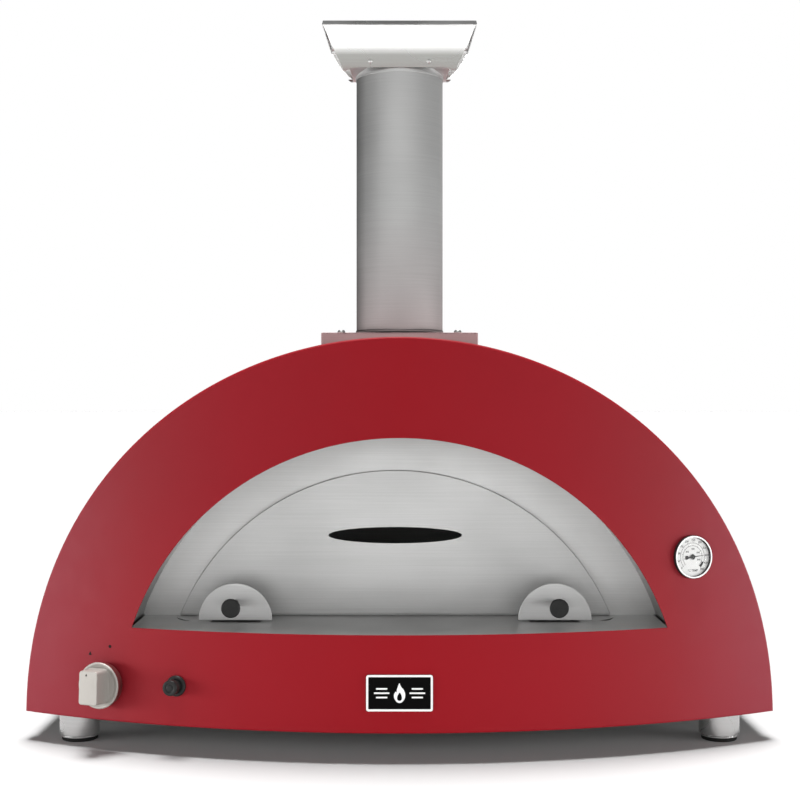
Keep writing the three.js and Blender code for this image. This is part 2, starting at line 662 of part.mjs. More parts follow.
// Bent screen between the burner and the cooking floor.
function burnerGuard() {
  const fromX = FLOOR.leftX - 4.5;
  const fromZ = FLOOR_TRAY.topZ + GAP;
  const outline = polygon([[fromX, fromZ], [fromX + 1.5, fromZ], [fromX + 1.5, 200], [fromX - 14, 214],
    [fromX - 15, 213], [fromX, 199.4]]);
  return alongY(outline, BURNER.frontY - 20, BURNER.backY + 20);
}

function facePoint(fitting, x, y, z) {
  return new THREE.Vector3(x, y, z).applyMatrix4(faceFrame(fitting.x, fitting.z)).toArray();
}

function manifoldPipe() {
  const { x, z, frontY, radius } = BURNER;
  const riserY = frontY + 15;
  return pipe([facePoint(KNOB, 0, 0, -62), facePoint(KNOB, 0, 0, -92), [x - 4, 230, 92], [x, 300, 90],
    [x, riserY - 8, 94], [x, riserY, 108], [x, riserY, 130], [x, riserY, z - radius - GAP]]);
}

function supplyPipe() {
  return pipe([facePoint(KNOB, -19, 0, -42), facePoint(KNOB, -35, 0, -44), [-474, 190, 84], [-474, 300, 80],
    [-462, 500, 80], [INLET.x, 700, INLET.z], [INLET.x, REAR.faceY - 12 - GAP, INLET.z]]);
}

function gasInlet() {
  const { radius } = INLET;
  const geometry = new THREE.LatheGeometry([[0, 0], [8, 0], [8, 10], [radius, 10], [radius, 22], [7, 22], [7, 32],
    [4.5, 32], [4.5, 6], [0, 6]].map(([r, h]) => new THREE.Vector2(r, h)), 12);
  geometry.translate(INLET.x, REAR.faceY - 12, -INLET.z);
  geometry.applyMatrix4(new THREE.Matrix4().makeScale(1, 1, -1));
  return solid(geometry);
}

function sparkElectrode() {
  const base = FLOOR_TRAY.topZ + GAP;
  const profile = [[0, base], [6, base], [6, base + 6], [4, base + 8], [4, base + 42], [1.2, base + 42],
    [1.2, base + 58], [0, base + 58]];
  return turned(profile, BURNER.x + 22, BURNER.frontY + 40, 12);
}

// ---------------------------------------------------------------- door

function doorPanel() {
  const { x, radius, baseZ, frontY, thickness, hem } = DOOR;
  const outline = archOutline(radius, baseZ, radius, x);
  const slot = new THREE.Path();
  slot.absellipse(x, DOOR_SLOT.z, DOOR_SLOT.halfWidth, DOOR_SLOT.halfHeight, 0, 2 * Math.PI, false);
  outline.holes.push(slot);
  let door = alongY(outline, frontY, frontY + thickness);
  const hemOutline = archOutline(radius, baseZ, radius, x);
  hemOutline.holes.push(archOutline(radius - 3, baseZ + 3, radius - 3, x));
  return door.add(alongY(hemOutline, frontY, frontY + hem));
}

function doorBracket(side) {
  const { offsetX, radius, frontY, thickness, baseZ } = BRACKET;
  const x = DOOR.x + side * offsetX;
  const face = new THREE.Shape().absarc(x, baseZ, radius, 0, Math.PI, false);
  face.closePath();
  const bore = new THREE.Path().absarc(x, PEG.z, PEG.studRadius + GAP, 0, 2 * Math.PI, false);
  face.holes.push(bore);
  const shoe = block(x - BRACKET.shoe, x + BRACKET.shoe, frontY, DOOR.frontY - GAP, baseZ, baseZ + thickness);
  return alongY(face, frontY, frontY + thickness, 10).add(shoe);
}

function doorHandle(side) {
  const x = DOOR.x + side * BRACKET.offsetX;
  const { tipY, tipRadius, rootRadius, studRadius, z } = PEG;
  const length = BRACKET.frontY - GAP - tipY;
  const profile = [[0, -8], [studRadius, -8], [studRadius, 0], [rootRadius, 0], [rootRadius, length * 0.3],
    [tipRadius, length - 3.5], [tipRadius, length - 1.5], [tipRadius - 1.5, length], [0, length]];
  const points = profile.map(([r, h]) => new THREE.Vector2(r, h));
  const geometry = new THREE.LatheGeometry(points, 20);
  geometry.rotateZ(Math.PI);
  geometry.translate(x, BRACKET.frontY - GAP, z);
  return solid(geometry);
}

// ---------------------------------------------------------------- assembly

const oven = new THREE.Group();

oven.add(
  named('front_panel', frontPanel(), powderCoat()),
  named('dome_shell', domeShell(), powderCoat()),
  named('rear_panel', rearPanel(), powderCoat()),
  named('base_pan', basePan(), plainSteel()),
  named('mouth_shelf', mouthShelf(), brushedSteel()),
  named('mouth_lining', mouthLining(), brushedSteel()),
  named('facade_plate', facadePlate(), brushedSteel()),
  named('chamber_arch', chamberArch(), brushedSteel()),
  named('chamber_back', chamberBack(), brushedSteel()),
  named('insulation_arch', insulationArch(), ceramicWool()),
  named('insulation_back', insulationBack(), ceramicWool()),
  named('floor_insulation', floorInsulation(), ceramicWool()),
  named('floor_tray', floorTray(), plainSteel()),
  named('floor_tile_left', floorTile(0), firebrick()),
  named('floor_tile_right', floorTile(1), firebrick()),
  named('floor_rail_left', floorRail(-1), plainSteel()),
  named('floor_rail_right', floorRail(1), plainSteel()),
);

for (const [place, [x, y]] of footPlaces()) {
  oven.add(named(`foot_${place}`, foot(x, y), brushedSteel()));
  oven.add(named(`foot_pad_${place}`, footPad(x, y), rubber()));
}

oven.add(
  named('flue_duct', flueDuct(), plainSteel()),
  named('flue_box', flueBox(), brushedSteel()),
  named('flue_gasket', flueGasket(), rubber()),
  named('flue_pipe', fluePipe(), brushedSteel()),
  named('cap_saddle', capSaddle(), brushedSteel()),
  named('cap_front_sheet', capSheet(-1), brushedSteel()),
  named('cap_rear_sheet', capSheet(1), brushedSteel()),
  named('cap_roof', capRoof(), brushedSteel()),
);

screwPlaces().forEach(([x, y], index) => {
  oven.add(named(`box_screw_${index + 1}`, boxScrew(x, y), plainSteel()));
});

oven.add(
  onFace(KNOB,
    named('control_knob', controlKnob(), satinNickel()),
    named('valve_spindle', valveSpindle(), plainSteel()),
    named('gas_valve', gasValve(), brass())),
  onFace(IGNITER,
    named('igniter_body', igniterBody(), blackPlastic()),
    named('igniter_button', igniterButton(), blackPlastic())),
);

const needle = named('gauge_needle', gaugeNeedle(), blackPlastic());
needle.rotation.z = THREE.MathUtils.degToRad(GAUGE.needleTurn);
oven.add(onFace(GAUGE,
  named('gauge_case', gaugeCase(), satinNickel()),
  named('gauge_dial', disc(GAUGE.dialRadius, GAUGE_LEVELS.seat + GAP, GAUGE_LEVELS.dial), whiteEnamel()),
  needle,
  named('gauge_glass', disc(GAUGE.dialRadius, GAUGE_LEVELS.glass, GAUGE_LEVELS.glass + 1.2), glass()),
  named('gauge_stem', gaugeStem(), brushedSteel())));

const badgeShape = roundedRectangle(BADGE.width, BADGE.height, BADGE.corner);
const badge = named('badge_plate', alongZ(badgeShape, GAP, GAP + BADGE.thickness, 4), blackPlastic());
oven.add(onFace({ x: 0, z: BADGE.z }, badge));

oven.add(
  named('burner_tube', burnerTube(), brushedSteel()),
  named('burner_guard', burnerGuard(), brushedSteel()),
  named('manifold_pipe', manifoldPipe(), brass()),
  named('supply_pipe', supplyPipe(), brass()),
  named('gas_inlet', gasInlet(), brass()),
  named('spark_electrode', sparkElectrode(), whiteEnamel()),
  named('door_panel', doorPanel(), brushedSteel()),
);

for (const [place, side] of [['left', -1], ['right', 1]]) {
  oven.add(named(`door_bracket_${place}`, doorBracket(side), brushedSteel()));
  oven.add(named(`door_handle_${place}`, doorHandle(side), blackPlastic()));
}

oven.position.y = -DEPTH / 2;

export default oven;
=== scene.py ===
"""The looks of a countertop gas pizza oven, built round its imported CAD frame.

Metres, +Z up, the oven faces -Y. The origin is on the floor, in the middle of the width and depth.
Fine pieces stand for the CAD nodes that show, and keep their places and sizes."""

import json
from math import asin, cos, pi, radians, sin, sqrt

import bmesh
import bpy
from mathutils import Matrix, Vector
from mathutils.geometry import tessellate_polygon


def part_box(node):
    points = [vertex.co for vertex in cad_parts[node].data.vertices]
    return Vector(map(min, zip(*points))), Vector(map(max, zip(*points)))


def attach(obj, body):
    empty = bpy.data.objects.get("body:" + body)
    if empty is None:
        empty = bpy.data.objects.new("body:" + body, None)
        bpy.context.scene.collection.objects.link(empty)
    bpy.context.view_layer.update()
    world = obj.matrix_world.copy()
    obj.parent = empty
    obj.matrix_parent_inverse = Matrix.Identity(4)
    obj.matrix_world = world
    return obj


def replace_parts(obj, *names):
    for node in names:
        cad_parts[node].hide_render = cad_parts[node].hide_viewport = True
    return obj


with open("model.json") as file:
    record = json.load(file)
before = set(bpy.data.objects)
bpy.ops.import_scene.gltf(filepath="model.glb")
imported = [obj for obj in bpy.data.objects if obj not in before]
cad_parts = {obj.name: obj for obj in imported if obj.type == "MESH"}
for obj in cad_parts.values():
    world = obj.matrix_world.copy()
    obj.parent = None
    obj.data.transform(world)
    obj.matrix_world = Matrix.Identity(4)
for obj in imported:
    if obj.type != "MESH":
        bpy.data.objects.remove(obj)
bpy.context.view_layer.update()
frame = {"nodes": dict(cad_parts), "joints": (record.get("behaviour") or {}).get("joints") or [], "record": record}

# ---------------------------------------------------------------- the frame's facts

RECORD = frame["record"]
SLOT_OF = {part["node"]: part["material_slot"] for part in RECORD["subparts"]}
BODY_OF = {node: body for body, nodes in RECORD["behaviour"]["bodies"].items() for node in nodes}
JOINTS = {joint["name"]: joint for joint in frame["joints"]}


def low(node):
    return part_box(node)[0]


def high(node):
    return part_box(node)[1]


def middle(node):
    return (low(node) + high(node)) / 2


def size(node):
    return high(node) - low(node)


# ---------------------------------------------------------------- driving dimensions

MM = 0.001
GAP = 0.3 * MM


def mm(*points):
    """Points given in millimetres."""
    return [(a * MM, b * MM) for a, b in points]



# Front panel: half ellipse, bowed in plan, leaning back as it rises.
BOW_RADIUS = 1.19
LEAN = 0.045
ARCH_Z = 0.045  # every arch is struck about this height
HALF_WIDTH = high("front_panel").x
FRONT_Y = low("front_panel").y
BASE_Z = low("front_panel").z
RISE = high("front_panel").z - ARCH_Z
PANEL_SHEET = 3 * MM
PANEL_RIM = (25 * MM, 2.5 * MM)  # depth, wall
PANEL_BEND = 3.5 * MM
MOUTH_RADIUS = 0.412
SILL_Z = 0.180
FLUE_BORE = 0.068

# Places of the fittings on the front face, (x, z).
KNOB_AT = (JOINTS["knob_turn"]["pos_m"][0], JOINTS["knob_turn"]["pos_m"][2])
GAUGE_AT = (JOINTS["needle_turn"]["pos_m"][0], JOINTS["needle_turn"]["pos_m"][2])
IGNITER_AT = (-0.320, 0.101)
BADGE_AT = (0.0, 0.100)

# Camera and studio.
CAMERA_AT = (0.0007, -2.336, 0.511)
CAMERA_LENS = 61.875
FLOOR_SIZE = 60.0
FLOOR_GREY = 0.48
SUN_STRENGTH = 6.2
SUN_WIDTH = 24  # degrees across, so that shadows have soft edges
SUN_LEAN = -4  # degrees from straight overhead
HORIZON_LIGHT = 0.5
ZENITH_LIGHT = 0.1
# Each softbox: its place, the point it faces, its sides and its radiance.
SOFTBOXES = {
    "left": ((-2.6, -0.95, 0.29), (-0.5, -0.25, 0.25), (1.7, 0.5), 14.0),
    "right": ((2.6, -0.95, 0.29), (0.5, -0.25, 0.25), (1.7, 0.5), 14.0),
    "front": ((0, -5.0, 1.35), (0, -0.2, 1.0), (8.0, 2.5), 1.12),
}


def face_y(x, z):
    """Depth of the front face at (x, z)."""
    return FRONT_Y + BOW_RADIUS - sqrt(BOW_RADIUS**2 - x**2) + LEAN * (z - BASE_Z)


def on_face(x, z, lift=0.0):
    """Frame of a fitting on the front face: local +Z out of the face, +Y up, +X right."""
    out = Vector((x / sqrt(BOW_RADIUS**2 - x**2), -1, LEAN)).normalized()
    right = Vector((0, 0, 1)).cross(out).normalized()
    place = Matrix((right, out.cross(right), out)).transposed().to_4x4()
    place.translation = Vector((x, face_y(x, z), z)) + out * lift
    return place


def upright(y, towards=1):
    """A drawing (x, z) stood up at depth y, its thickness running back (1) or forward (-1)."""
    return Matrix(((1, 0, 0, 0), (0, 0, towards, y), (0, 1, 0, 0), (0, 0, 0, 1)))


def level(z):
    """A plan (x, y) laid with its top at height z, its thickness running down."""
    return Matrix(((1, 0, 0, 0), (0, 1, 0, 0), (0, 0, -1, z), (0, 0, 0, 1)))


def at(x, y, z=0.0):
    return Matrix.Translation((x, y, z))


# ---------------------------------------------------------------- materials


def make_material(name, color, roughness, metallic=0.0, specular=0.5):
    made = bpy.data.materials.new(name)
    made.use_nodes = True
    shader = made.node_tree.nodes["Principled BSDF"]
    shader.inputs["Base Color"].default_value = (*color, 1.0)
    shader.inputs["Roughness"].default_value = roughness
    shader.inputs["Metallic"].default_value = metallic
    shader.inputs["Specular IOR Level"].default_value = specular
    return made


def shader_of(made):
    return made.node_tree.nodes["Principled BSDF"]


def noise(made, cells, stretch=(1, 1, 1), detail=3.0, kind="ShaderNodeTexNoise"):
    """A field in the object's own space with so many cells to the metre, times stretch along each axis."""
    tree = made.node_tree
    coordinates = tree.nodes.new("ShaderNodeTexCoord")
    mapping = tree.nodes.new("ShaderNodeMapping")
    mapping.inputs["Scale"].default_value = stretch
    field = tree.nodes.new(kind)
    field.inputs["Scale"].default_value = cells
    if kind == "ShaderNodeTexNoise":
        field.inputs["Detail"].default_value = detail
    tree.links.new(coordinates.outputs["Object"], mapping.inputs["Vector"])
    tree.links.new(mapping.outputs["Vector"], field.inputs["Vector"])
    return field.outputs["Fac"] if kind == "ShaderNodeTexNoise" else field.outputs["Distance"]


def ranged(made, field, lowest, highest, from_low=0.3, from_high=0.7):
    tree = made.node_tree
    span = tree.nodes.new("ShaderNodeMapRange")
    span.inputs["From Min"].default_value = from_low
    span.inputs["From Max"].default_value = from_high
    span.inputs["To Min"].default_value = lowest
    span.inputs["To Max"].default_value = highest
    tree.links.new(field, span.inputs["Value"])
    return span.outputs["Result"]


def vary_roughness(made, field, lowest, highest):
    made.node_tree.links.new(ranged(made, field, lowest, highest), shader_of(made).inputs["Roughness"])


def vary_color(made, field, one, other, from_low=0.3, from_high=0.7):
    tree = made.node_tree
    ramp = tree.nodes.new("ShaderNodeValToRGB")
    ramp.color_ramp.elements[0].position = from_low
    ramp.color_ramp.elements[1].position = from_high
    ramp.color_ramp.elements[0].color = (*one, 1.0)
    ramp.color_ramp.elements[1].color = (*other, 1.0)
    tree.links.new(field, ramp.inputs["Fac"])
    tree.links.new(ramp.outputs["Color"], shader_of(made).inputs["Base Color"])


def tint_along(made, axis, stops):
    """Multiplies the colour by tints at places along one axis of the object's own space."""
    tree = made.node_tree
    base = shader_of(made).inputs["Base Color"]
    coordinates = tree.nodes.new("ShaderNodeTexCoord")
    parts = tree.nodes.new("ShaderNodeSeparateXYZ")
    span = tree.nodes.new("ShaderNodeMapRange")
    span.inputs["From Min"].default_value, span.inputs["From Max"].default_value = stops[0][0], stops[-1][0]
    ramp = tree.nodes.new("ShaderNodeValToRGB")
    elements = ramp.color_ramp.elements
    while len(elements) < len(stops):
        elements.new(0.5)
    for element, (place, tint) in zip(elements, stops):
        element.position = (place - stops[0][0]) / (stops[-1][0] - stops[0][0])
        element.color = (*tint, 1.0)
    mix = tree.nodes.new("ShaderNodeMix")
    mix.data_type, mix.blend_type = "RGBA", "MULTIPLY"
    mix.inputs["Factor"].default_value = 1.0
    tree.links.new(coordinates.outputs["Object"], parts.inputs["Vector"])
    tree.links.new(parts.outputs[axis], span.inputs["Value"])
    tree.links.new(span.outputs["Result"], ramp.inputs["Fac"])
    tree.links.new(base.links[0].from_socket, mix.inputs["A"])
    tree.links.new(ramp.outputs["Color"], mix.inputs["B"])
    tree.links.new(mix.outputs["Result"], base)


def raise_surface(made, field, strength, height):
    """Bump by a field; a second call lies over the first."""
    tree = made.node_tree
    bump = tree.nodes.new("ShaderNodeBump")
    bump.inputs["Strength"].default_value = strength
    bump.inputs["Distance"].default_value = height
    tree.links.new(field, bump.inputs["Height"])
    normal = shader_of(made).inputs["Normal"]
    if normal.is_linked:
        tree.links.new(normal.links[0].from_socket, bump.inputs["Normal"])
    tree.links.new(bump.outputs["Normal"], normal)


def powder_coat():
    made = make_material("powder_coat", (0.285, 0.020, 0.032), 0.48, specular=0.14)
    vary_color(made, noise(made, 6), (0.281, 0.0197, 0.0315), (0.289, 0.0203, 0.0325))
    # Painted sheen: the sides are paler and less red, standing in for the side lights' reflection; the middle
    # stays deep red.
    tint_along(made, "X", [
        (-0.54, (0.84, 1.0, 1.0)), (-0.385, (0.90, 0.55, 0.55)), (-0.22, (0.98, 0.28, 0.38)),
        (0.0, (1.0, 0.10, 0.24)),
        (0.22, (0.97, 0.26, 0.36)), (0.385, (0.87, 0.52, 0.52)), (0.54, (0.79, 1.0, 1.0)),
    ])
    # Painted shade: above 0.40 m the red is darker, so the lower part reads as lit by the floor below.
    painted_shade_above = (0.86, 0.92, 0.93)
    tint_along(made, "Z", [(0.04, (1.0, 1.0, 1.0)), (0.14, (0.99, 1.0, 1.0)), (0.40, painted_shade_above), (0.62, painted_shade_above)])
    vary_roughness(made, noise(made, 40), 0.50, 0.56)
    raise_surface(made, noise(made, 700), 0.12, 0.15 * MM)
    return made


GRAIN_LEVEL = (7, 7, 1100)  # lines at one height
GRAIN_ACROSS = (7, 1100, 7)  # lines from left to right on a level sheet
GRAIN_BACK = (700, 7, 700)  # lines from front to back


def brushed_steel(name, stretch, grey=0.52, roughness=0.46, drawn=0.8):
    """Sheet with a grain along the axes whose stretch is small, and faint clouds over it."""
    made = make_material(name, (grey,) * 3, roughness, metallic=1.0)
    shader_of(made).inputs["Anisotropic"].default_value = drawn
    grain = noise(made, 1, stretch, detail=4.0)
    clouds = noise(made, 9, detail=2.0)
    light, dark = grey * 1.05, grey * 0.95
    vary_color(made, grain, (dark, dark, dark * 0.99), (light, light, light * 0.99))
    vary_roughness(made, clouds, roughness - 0.04, roughness + 0.05)
    raise_surface(made, grain, 0.10, 0.12 * MM)
    raise_surface(made, noise(made, 28, detail=1.0), 0.05, 0.4 * MM)
    return made


def cap_sheet_steel():
    """Bright above; painted shade below, standing in for the darker reflection there."""
    made = brushed_steel("bright_sheet", GRAIN_LEVEL, grey=0.95, roughness=0.26, drawn=0)
    painted_shade, bright = (0.40, 0.40, 0.385), (1.0, 1.0, 1.0)
    tint_along(made, "Z", [(1.030, painted_shade), (1.052, painted_shade), (1.068, bright), (1.110, bright)])
    return made


def flue_steel():
    """Painted reflection and shade: red-tinted low down, where the red dome shows in it; paler as it rises;
    painted shade at its left edge.
    """
    made = brushed_steel("brushed_flue", GRAIN_LEVEL, grey=0.56, roughness=0.5)
    painted_red_reflection, painted_shade = (0.48, 0.41, 0.41), (0.57, 0.54, 0.54)
    tint_along(made, "Z", [(0.618, painted_red_reflection), (0.70, painted_shade), (0.82, (0.71,) * 3), (1.04, (0.88,) * 3)])
    # Painted shade along the left edge.
    tint_along(made, "X", [
        (-0.070, (0.40,) * 3), (-0.064, (0.62,) * 3), (-0.054, (0.86,) * 3),
        (-0.03, (1, 1, 1)), (0.070, (1, 1, 1)),
    ])
    return made


def box_steel():
    """Its colour carries a painted reflection: a red blush from the paint all round it."""
    made = brushed_steel("brushed_box", GRAIN_LEVEL, roughness=0.5)
    vary_color(made, noise(made, 1, GRAIN_LEVEL, detail=4.0), (0.29, 0.190, 0.190), (0.31, 0.205, 0.205))
    return made


def plain_steel():
    made = make_material("plain_steel", (0.36, 0.36, 0.35), 0.45, metallic=1.0)
    spangle = noise(made, 90, kind="ShaderNodeTexVoronoi")
    vary_color(made, spangle, (0.32, 0.32, 0.31), (0.42, 0.42, 0.41), 0.1, 0.7)
    vary_roughness(made, noise(made, 60), 0.38, 0.52)
    raise_surface(made, noise(made, 300), 0.1, 0.1 * MM)
    return made


def satin_nickel():
    made = make_material("satin_nickel", (0.37, 0.35, 0.325), 0.5, metallic=0.4, specular=0.3)
    vary_color(made, noise(made, 50), (0.36, 0.34, 0.315), (0.38, 0.36, 0.335))
    vary_roughness(made, noise(made, 1, (900, 40, 900)), 0.46, 0.54)
    raise_surface(made, noise(made, 1500), 0.06, 0.05 * MM)
    return made


def painted_reflection_nickel():
    """Knob metal where it faces only the paint, with the paint's red reflection painted into its colour."""
    made = make_material("painted_reflection_nickel", (0.20, 0.055, 0.055), 0.5, metallic=0.6, specular=0.2)
    vary_color(made, noise(made, 50), (0.19, 0.052, 0.052), (0.21, 0.058, 0.058))
    return made


def flat_paint(name, grey, specular):
    made = make_material(name, (grey,) * 3, 0.5, specular=specular)
    vary_roughness(made, noise(made, 400), 0.45, 0.55)
    return made


def door_steel():
    """Painted shade: darker low down, where it faces the shelf; even above."""
    made = brushed_steel("door_steel", GRAIN_LEVEL, grey=0.51)
    stops = ((0.18, 0.87), (0.205, 0.86), (0.26, 0.83), (0.32, 0.90), (0.40, 0.93))
    tint_along(made, "Z", [(height, (tint,) * 3) for height, tint in stops])
    return made


def chrome():
    made = make_material("chrome", (0.86, 0.86, 0.87), 0.1, metallic=1.0)
    vary_roughness(made, noise(made, 120), 0.06, 0.14)
    return made


def black_plastic():
    made = make_material("black_plastic", (0.016, 0.016, 0.016), 0.42, specular=0.2)
    vary_color(made, noise(made, 150), (0.014, 0.014, 0.014), (0.018, 0.018, 0.0175))
    vary_roughness(made, noise(made, 200), 0.36, 0.5)
    raise_surface(made, noise(made, 2500), 0.2, 0.05 * MM)
    return made


def rubber():
    made = make_material("rubber", (0.010, 0.010, 0.010), 0.8, specular=0.12)
    vary_color(made, noise(made, 80), (0.008, 0.008, 0.008), (0.014, 0.014, 0.013))
    vary_roughness(made, noise(made, 300), 0.7, 0.9)
    raise_surface(made, noise(made, 1800), 0.25, 0.1 * MM)
    return made


def dial_enamel():
    made = make_material("dial_enamel", (0.66, 0.66, 0.65), 0.4, specular=0.2)
    vary_color(made, noise(made, 90), (0.64, 0.64, 0.63), (0.68, 0.68, 0.67))
    vary_roughness(made, noise(made, 250), 0.3, 0.4)
    return made


def clear_glass():
    made = make_material("clear_glass", (1.0, 1.0, 1.0), 0.03, specular=0.04)
    shader_of(made).inputs["Alpha"].default_value = 0.03
    vary_roughness(made, noise(made, 60), 0.02, 0.05)
    return made


def ceramic_wool():
    made = make_material("ceramic_wool", (0.76, 0.73, 0.67), 0.95)
    vary_color(made, noise(made, 25), (0.70, 0.67, 0.60), (0.80, 0.78, 0.73))
    raise_surface(made, noise(made, 220, detail=6.0), 0.8, 3 * MM)
    return made


def firebrick():
    made = make_material("firebrick", (0.55, 0.44, 0.31), 0.92)
    vary_color(made, noise(made, 160, detail=6.0), (0.43, 0.34, 0.24), (0.64, 0.53, 0.39))
    raise_surface(made, noise(made, 500, detail=5.0), 0.5, 0.6 * MM)
    raise_surface(made, noise(made, 12, detail=2.0), 0.2, 2 * MM)
    return made


def brass():
    made = make_material("brass", (0.60, 0.40, 0.14), 0.32, metallic=1.0)
    vary_color(made, noise(made, 40), (0.52, 0.33, 0.11), (0.64, 0.44, 0.17))
    vary_roughness(made, noise(made, 150), 0.25, 0.42)
    return made


def ceramic():
    made = make_material("ceramic", (0.84, 0.82, 0.77), 0.25)
    vary_color(made, noise(made, 120), (0.80, 0.78, 0.72), (0.87, 0.85, 0.81))
    raise_surface(made, noise(made, 600), 0.1, 0.1 * MM)
    return made


def printing_ink(name, grey):
    made = make_material(name, (grey,) * 3, 0.6, specular=0.1)
    vary_roughness(made, noise(made, 900), 0.5, 0.7)
    return made


def dark_inside():
    made = make_material("dark_steel", (0.10, 0.10, 0.10), 0.5, metallic=1.0)
    vary_roughness(made, noise(made, 60), 0.42, 0.6)
    raise_surface(made, noise(made, 1, GRAIN_LEVEL), 0.1, 0.1 * MM)
    return made


FINISHES = {
    "powder_coat": powder_coat(),
    "brushed_steel": brushed_steel("brushed_steel", GRAIN_LEVEL),
    "brushed_flue": flue_steel(),
    "brushed_box": box_steel(),
    "brushed_foot": brushed_steel("brushed_foot", GRAIN_LEVEL, grey=0.46, roughness=0.30),
    "brushed_across": brushed_steel("brushed_across", GRAIN_ACROSS, grey=0.43, roughness=0.40, drawn=0),
    "brushed_back": brushed_steel("brushed_back", GRAIN_BACK, grey=0.60, roughness=0.36, drawn=0),
    "bright_sheet": cap_sheet_steel(),
    "roof_steel": brushed_steel("roof_steel", GRAIN_ACROSS, grey=0.70, roughness=0.26, drawn=0),
    "plain_steel": plain_steel(),
    "satin_nickel": satin_nickel(),
    "painted_reflection_nickel": painted_reflection_nickel(),
    "door_steel": door_steel(),
    "badge_black": flat_paint("badge_black", 0.0025, 0.03),
    "badge_white": flat_paint("badge_white", 0.88, 0.2),
    "chrome": chrome(),
    "black_plastic": black_plastic(),
    "rubber": rubber(),
    "dial_enamel": dial_enamel(),
    "clear_glass": clear_glass(),
    "ceramic_wool": ceramic_wool(),
    "firebrick": firebrick(),
    "brass": brass(),
    "ceramic": ceramic(),
    "printing_ink": printing_ink("printing_ink", 0.008),
    "pale_ink": printing_ink("pale_ink", 0.05),
    "dark_steel": dark_inside(),
}

# ---------------------------------------------------------------- outlines


def arch(radius, rise, base_z, steps, x=0.0):
    """The part of an arch above base_z, from right to left, as (x, z)."""
    start = asin((base_z - ARCH_Z) / rise)
    angles = [start + (pi - 2 * start) * i / steps for i in range(steps + 1)]
    return [(x + radius * cos(a), ARCH_Z + rise * sin(a)) for a in angles]


def arch_loop(radius, rise, base_z, steps=160, base_steps=1, x=0.0):
    """An arch closed by its straight base."""
    top = arch(radius, rise, base_z, steps, x)
    (left, _), (right, _) = top[-1], top[0]
    base = [(left + (right - left) * i / base_steps, base_z) for i in range(1, base_steps)]
    return top + base


def circle(radius, x=0.0, y=0.0, steps=48, stretch=1.0):
    angles = [2 * pi * i / steps for i in range(steps)]
    return [(x + radius * cos(a), y + radius * stretch * sin(a)) for a in angles]


def rectangle(width, height, x=0.0, y=0.0):
    w, h = width / 2, height / 2
    return [(x + w, y + h), (x - w, y + h), (x - w, y - h), (x + w, y - h)]


def bezier(start, bend, end, t):
    """One coordinate at t, from 0 to 1, on a curve from start to end that is drawn towards bend."""
    return (1 - t) ** 2 * start + 2 * t * (1 - t) * bend + t**2 * end


def soften(points, radius, closed=True, steps=4):
    """A polyline with its corners turned into small curves."""
    soft = []
    for i, point in enumerate(points):
        if not closed and i in (0, len(points) - 1):
            soft.append(tuple(point))
            continue
        corner, before, after = Vector(point), Vector(points[i - 1]), Vector(points[(i + 1) % len(points)])
        reach = min(radius, 0.45 * (before - corner).length, 0.45 * (after - corner).length)
        start = corner + (before - corner).normalized() * reach
        end = corner + (after - corner).normalized() * reach
        for k in range(steps + 1):
            t = k / steps
            soft.append(tuple(start.lerp(corner, t).lerp(corner.lerp(end, t), t)))
    return soft


def rounded_rectangle(width, height, radius, x=0.0, y=0.0):
    return soften(rectangle(width, height, x, y), radius, steps=6)


def turned_left(direction):
    return Vector((-direction.y, direction.x))


def offset(loop, distance):
    """A closed loop moved to its left: into the sheet, for an anticlockwise outline or a clockwise hole."""
    moved = []
    for i, point in enumerate(loop):
        here = Vector(point)
        arriving = turned_left((here - Vector(loop[i - 1])).normalized())
        leaving = turned_left((Vector(loop[(i + 1) % len(loop)]) - here).normalized())
        mitre = (arriving + leaving) / max(0.3, 1 + arriving.dot(leaving))
        moved.append(tuple(here + mitre * distance))
    return moved


def run_round(loop, anticlockwise=True):
    """The loop, turned round if it doesn't run the way asked."""
    pairs = zip(loop, loop[1:] + loop[:1])
    area = sum(a[0] * b[1] - b[0] * a[1] for a, b in pairs)
    return loop if (area > 0) == anticlockwise else loop[::-1]


# ---------------------------------------------------------------- meshes as (vertices, faces)


def stack(rings, loops_closed=True):
    """Faces between rings of equal count, each ring given as 3-D points."""
    count = len(rings[0])
    vertices = [point for ring in rings for point in ring]
    faces = []
    for r in range(len(rings) - 1):
        for i in range(count if loops_closed else count - 1):
            j = (i + 1) % count
            faces.append([r * count + i, r * count + j, (r + 1) * count + j, (r + 1) * count + i])
    return vertices, faces


def capped(loops):
    """Triangles that fill 3-D loops, the first an outline and the rest holes, counted through all of them."""
    return [list(face) for face in tessellate_polygon([[Vector(point) for point in loop] for loop in loops])]


def joined(*parts):
    vertices, faces = [], []
    for part_vertices, part_faces in parts:
        start = len(vertices)
        vertices += [tuple(point) for point in part_vertices]
        faces += [[start + i for i in face] for face in part_faces]
    return vertices, faces


def moved(part, place):
    vertices, faces = part
    return [tuple(place @ Vector(point)) for point in vertices], faces


def edge_arc(radius, steps=3):
    """(inset, height) from a flat face round to the side of a sheet."""
    angles = [pi / 2 * k / steps for k in range(steps + 1)]
    return [(radius * (1 - sin(a)), radius * (1 - cos(a))) for a in angles]


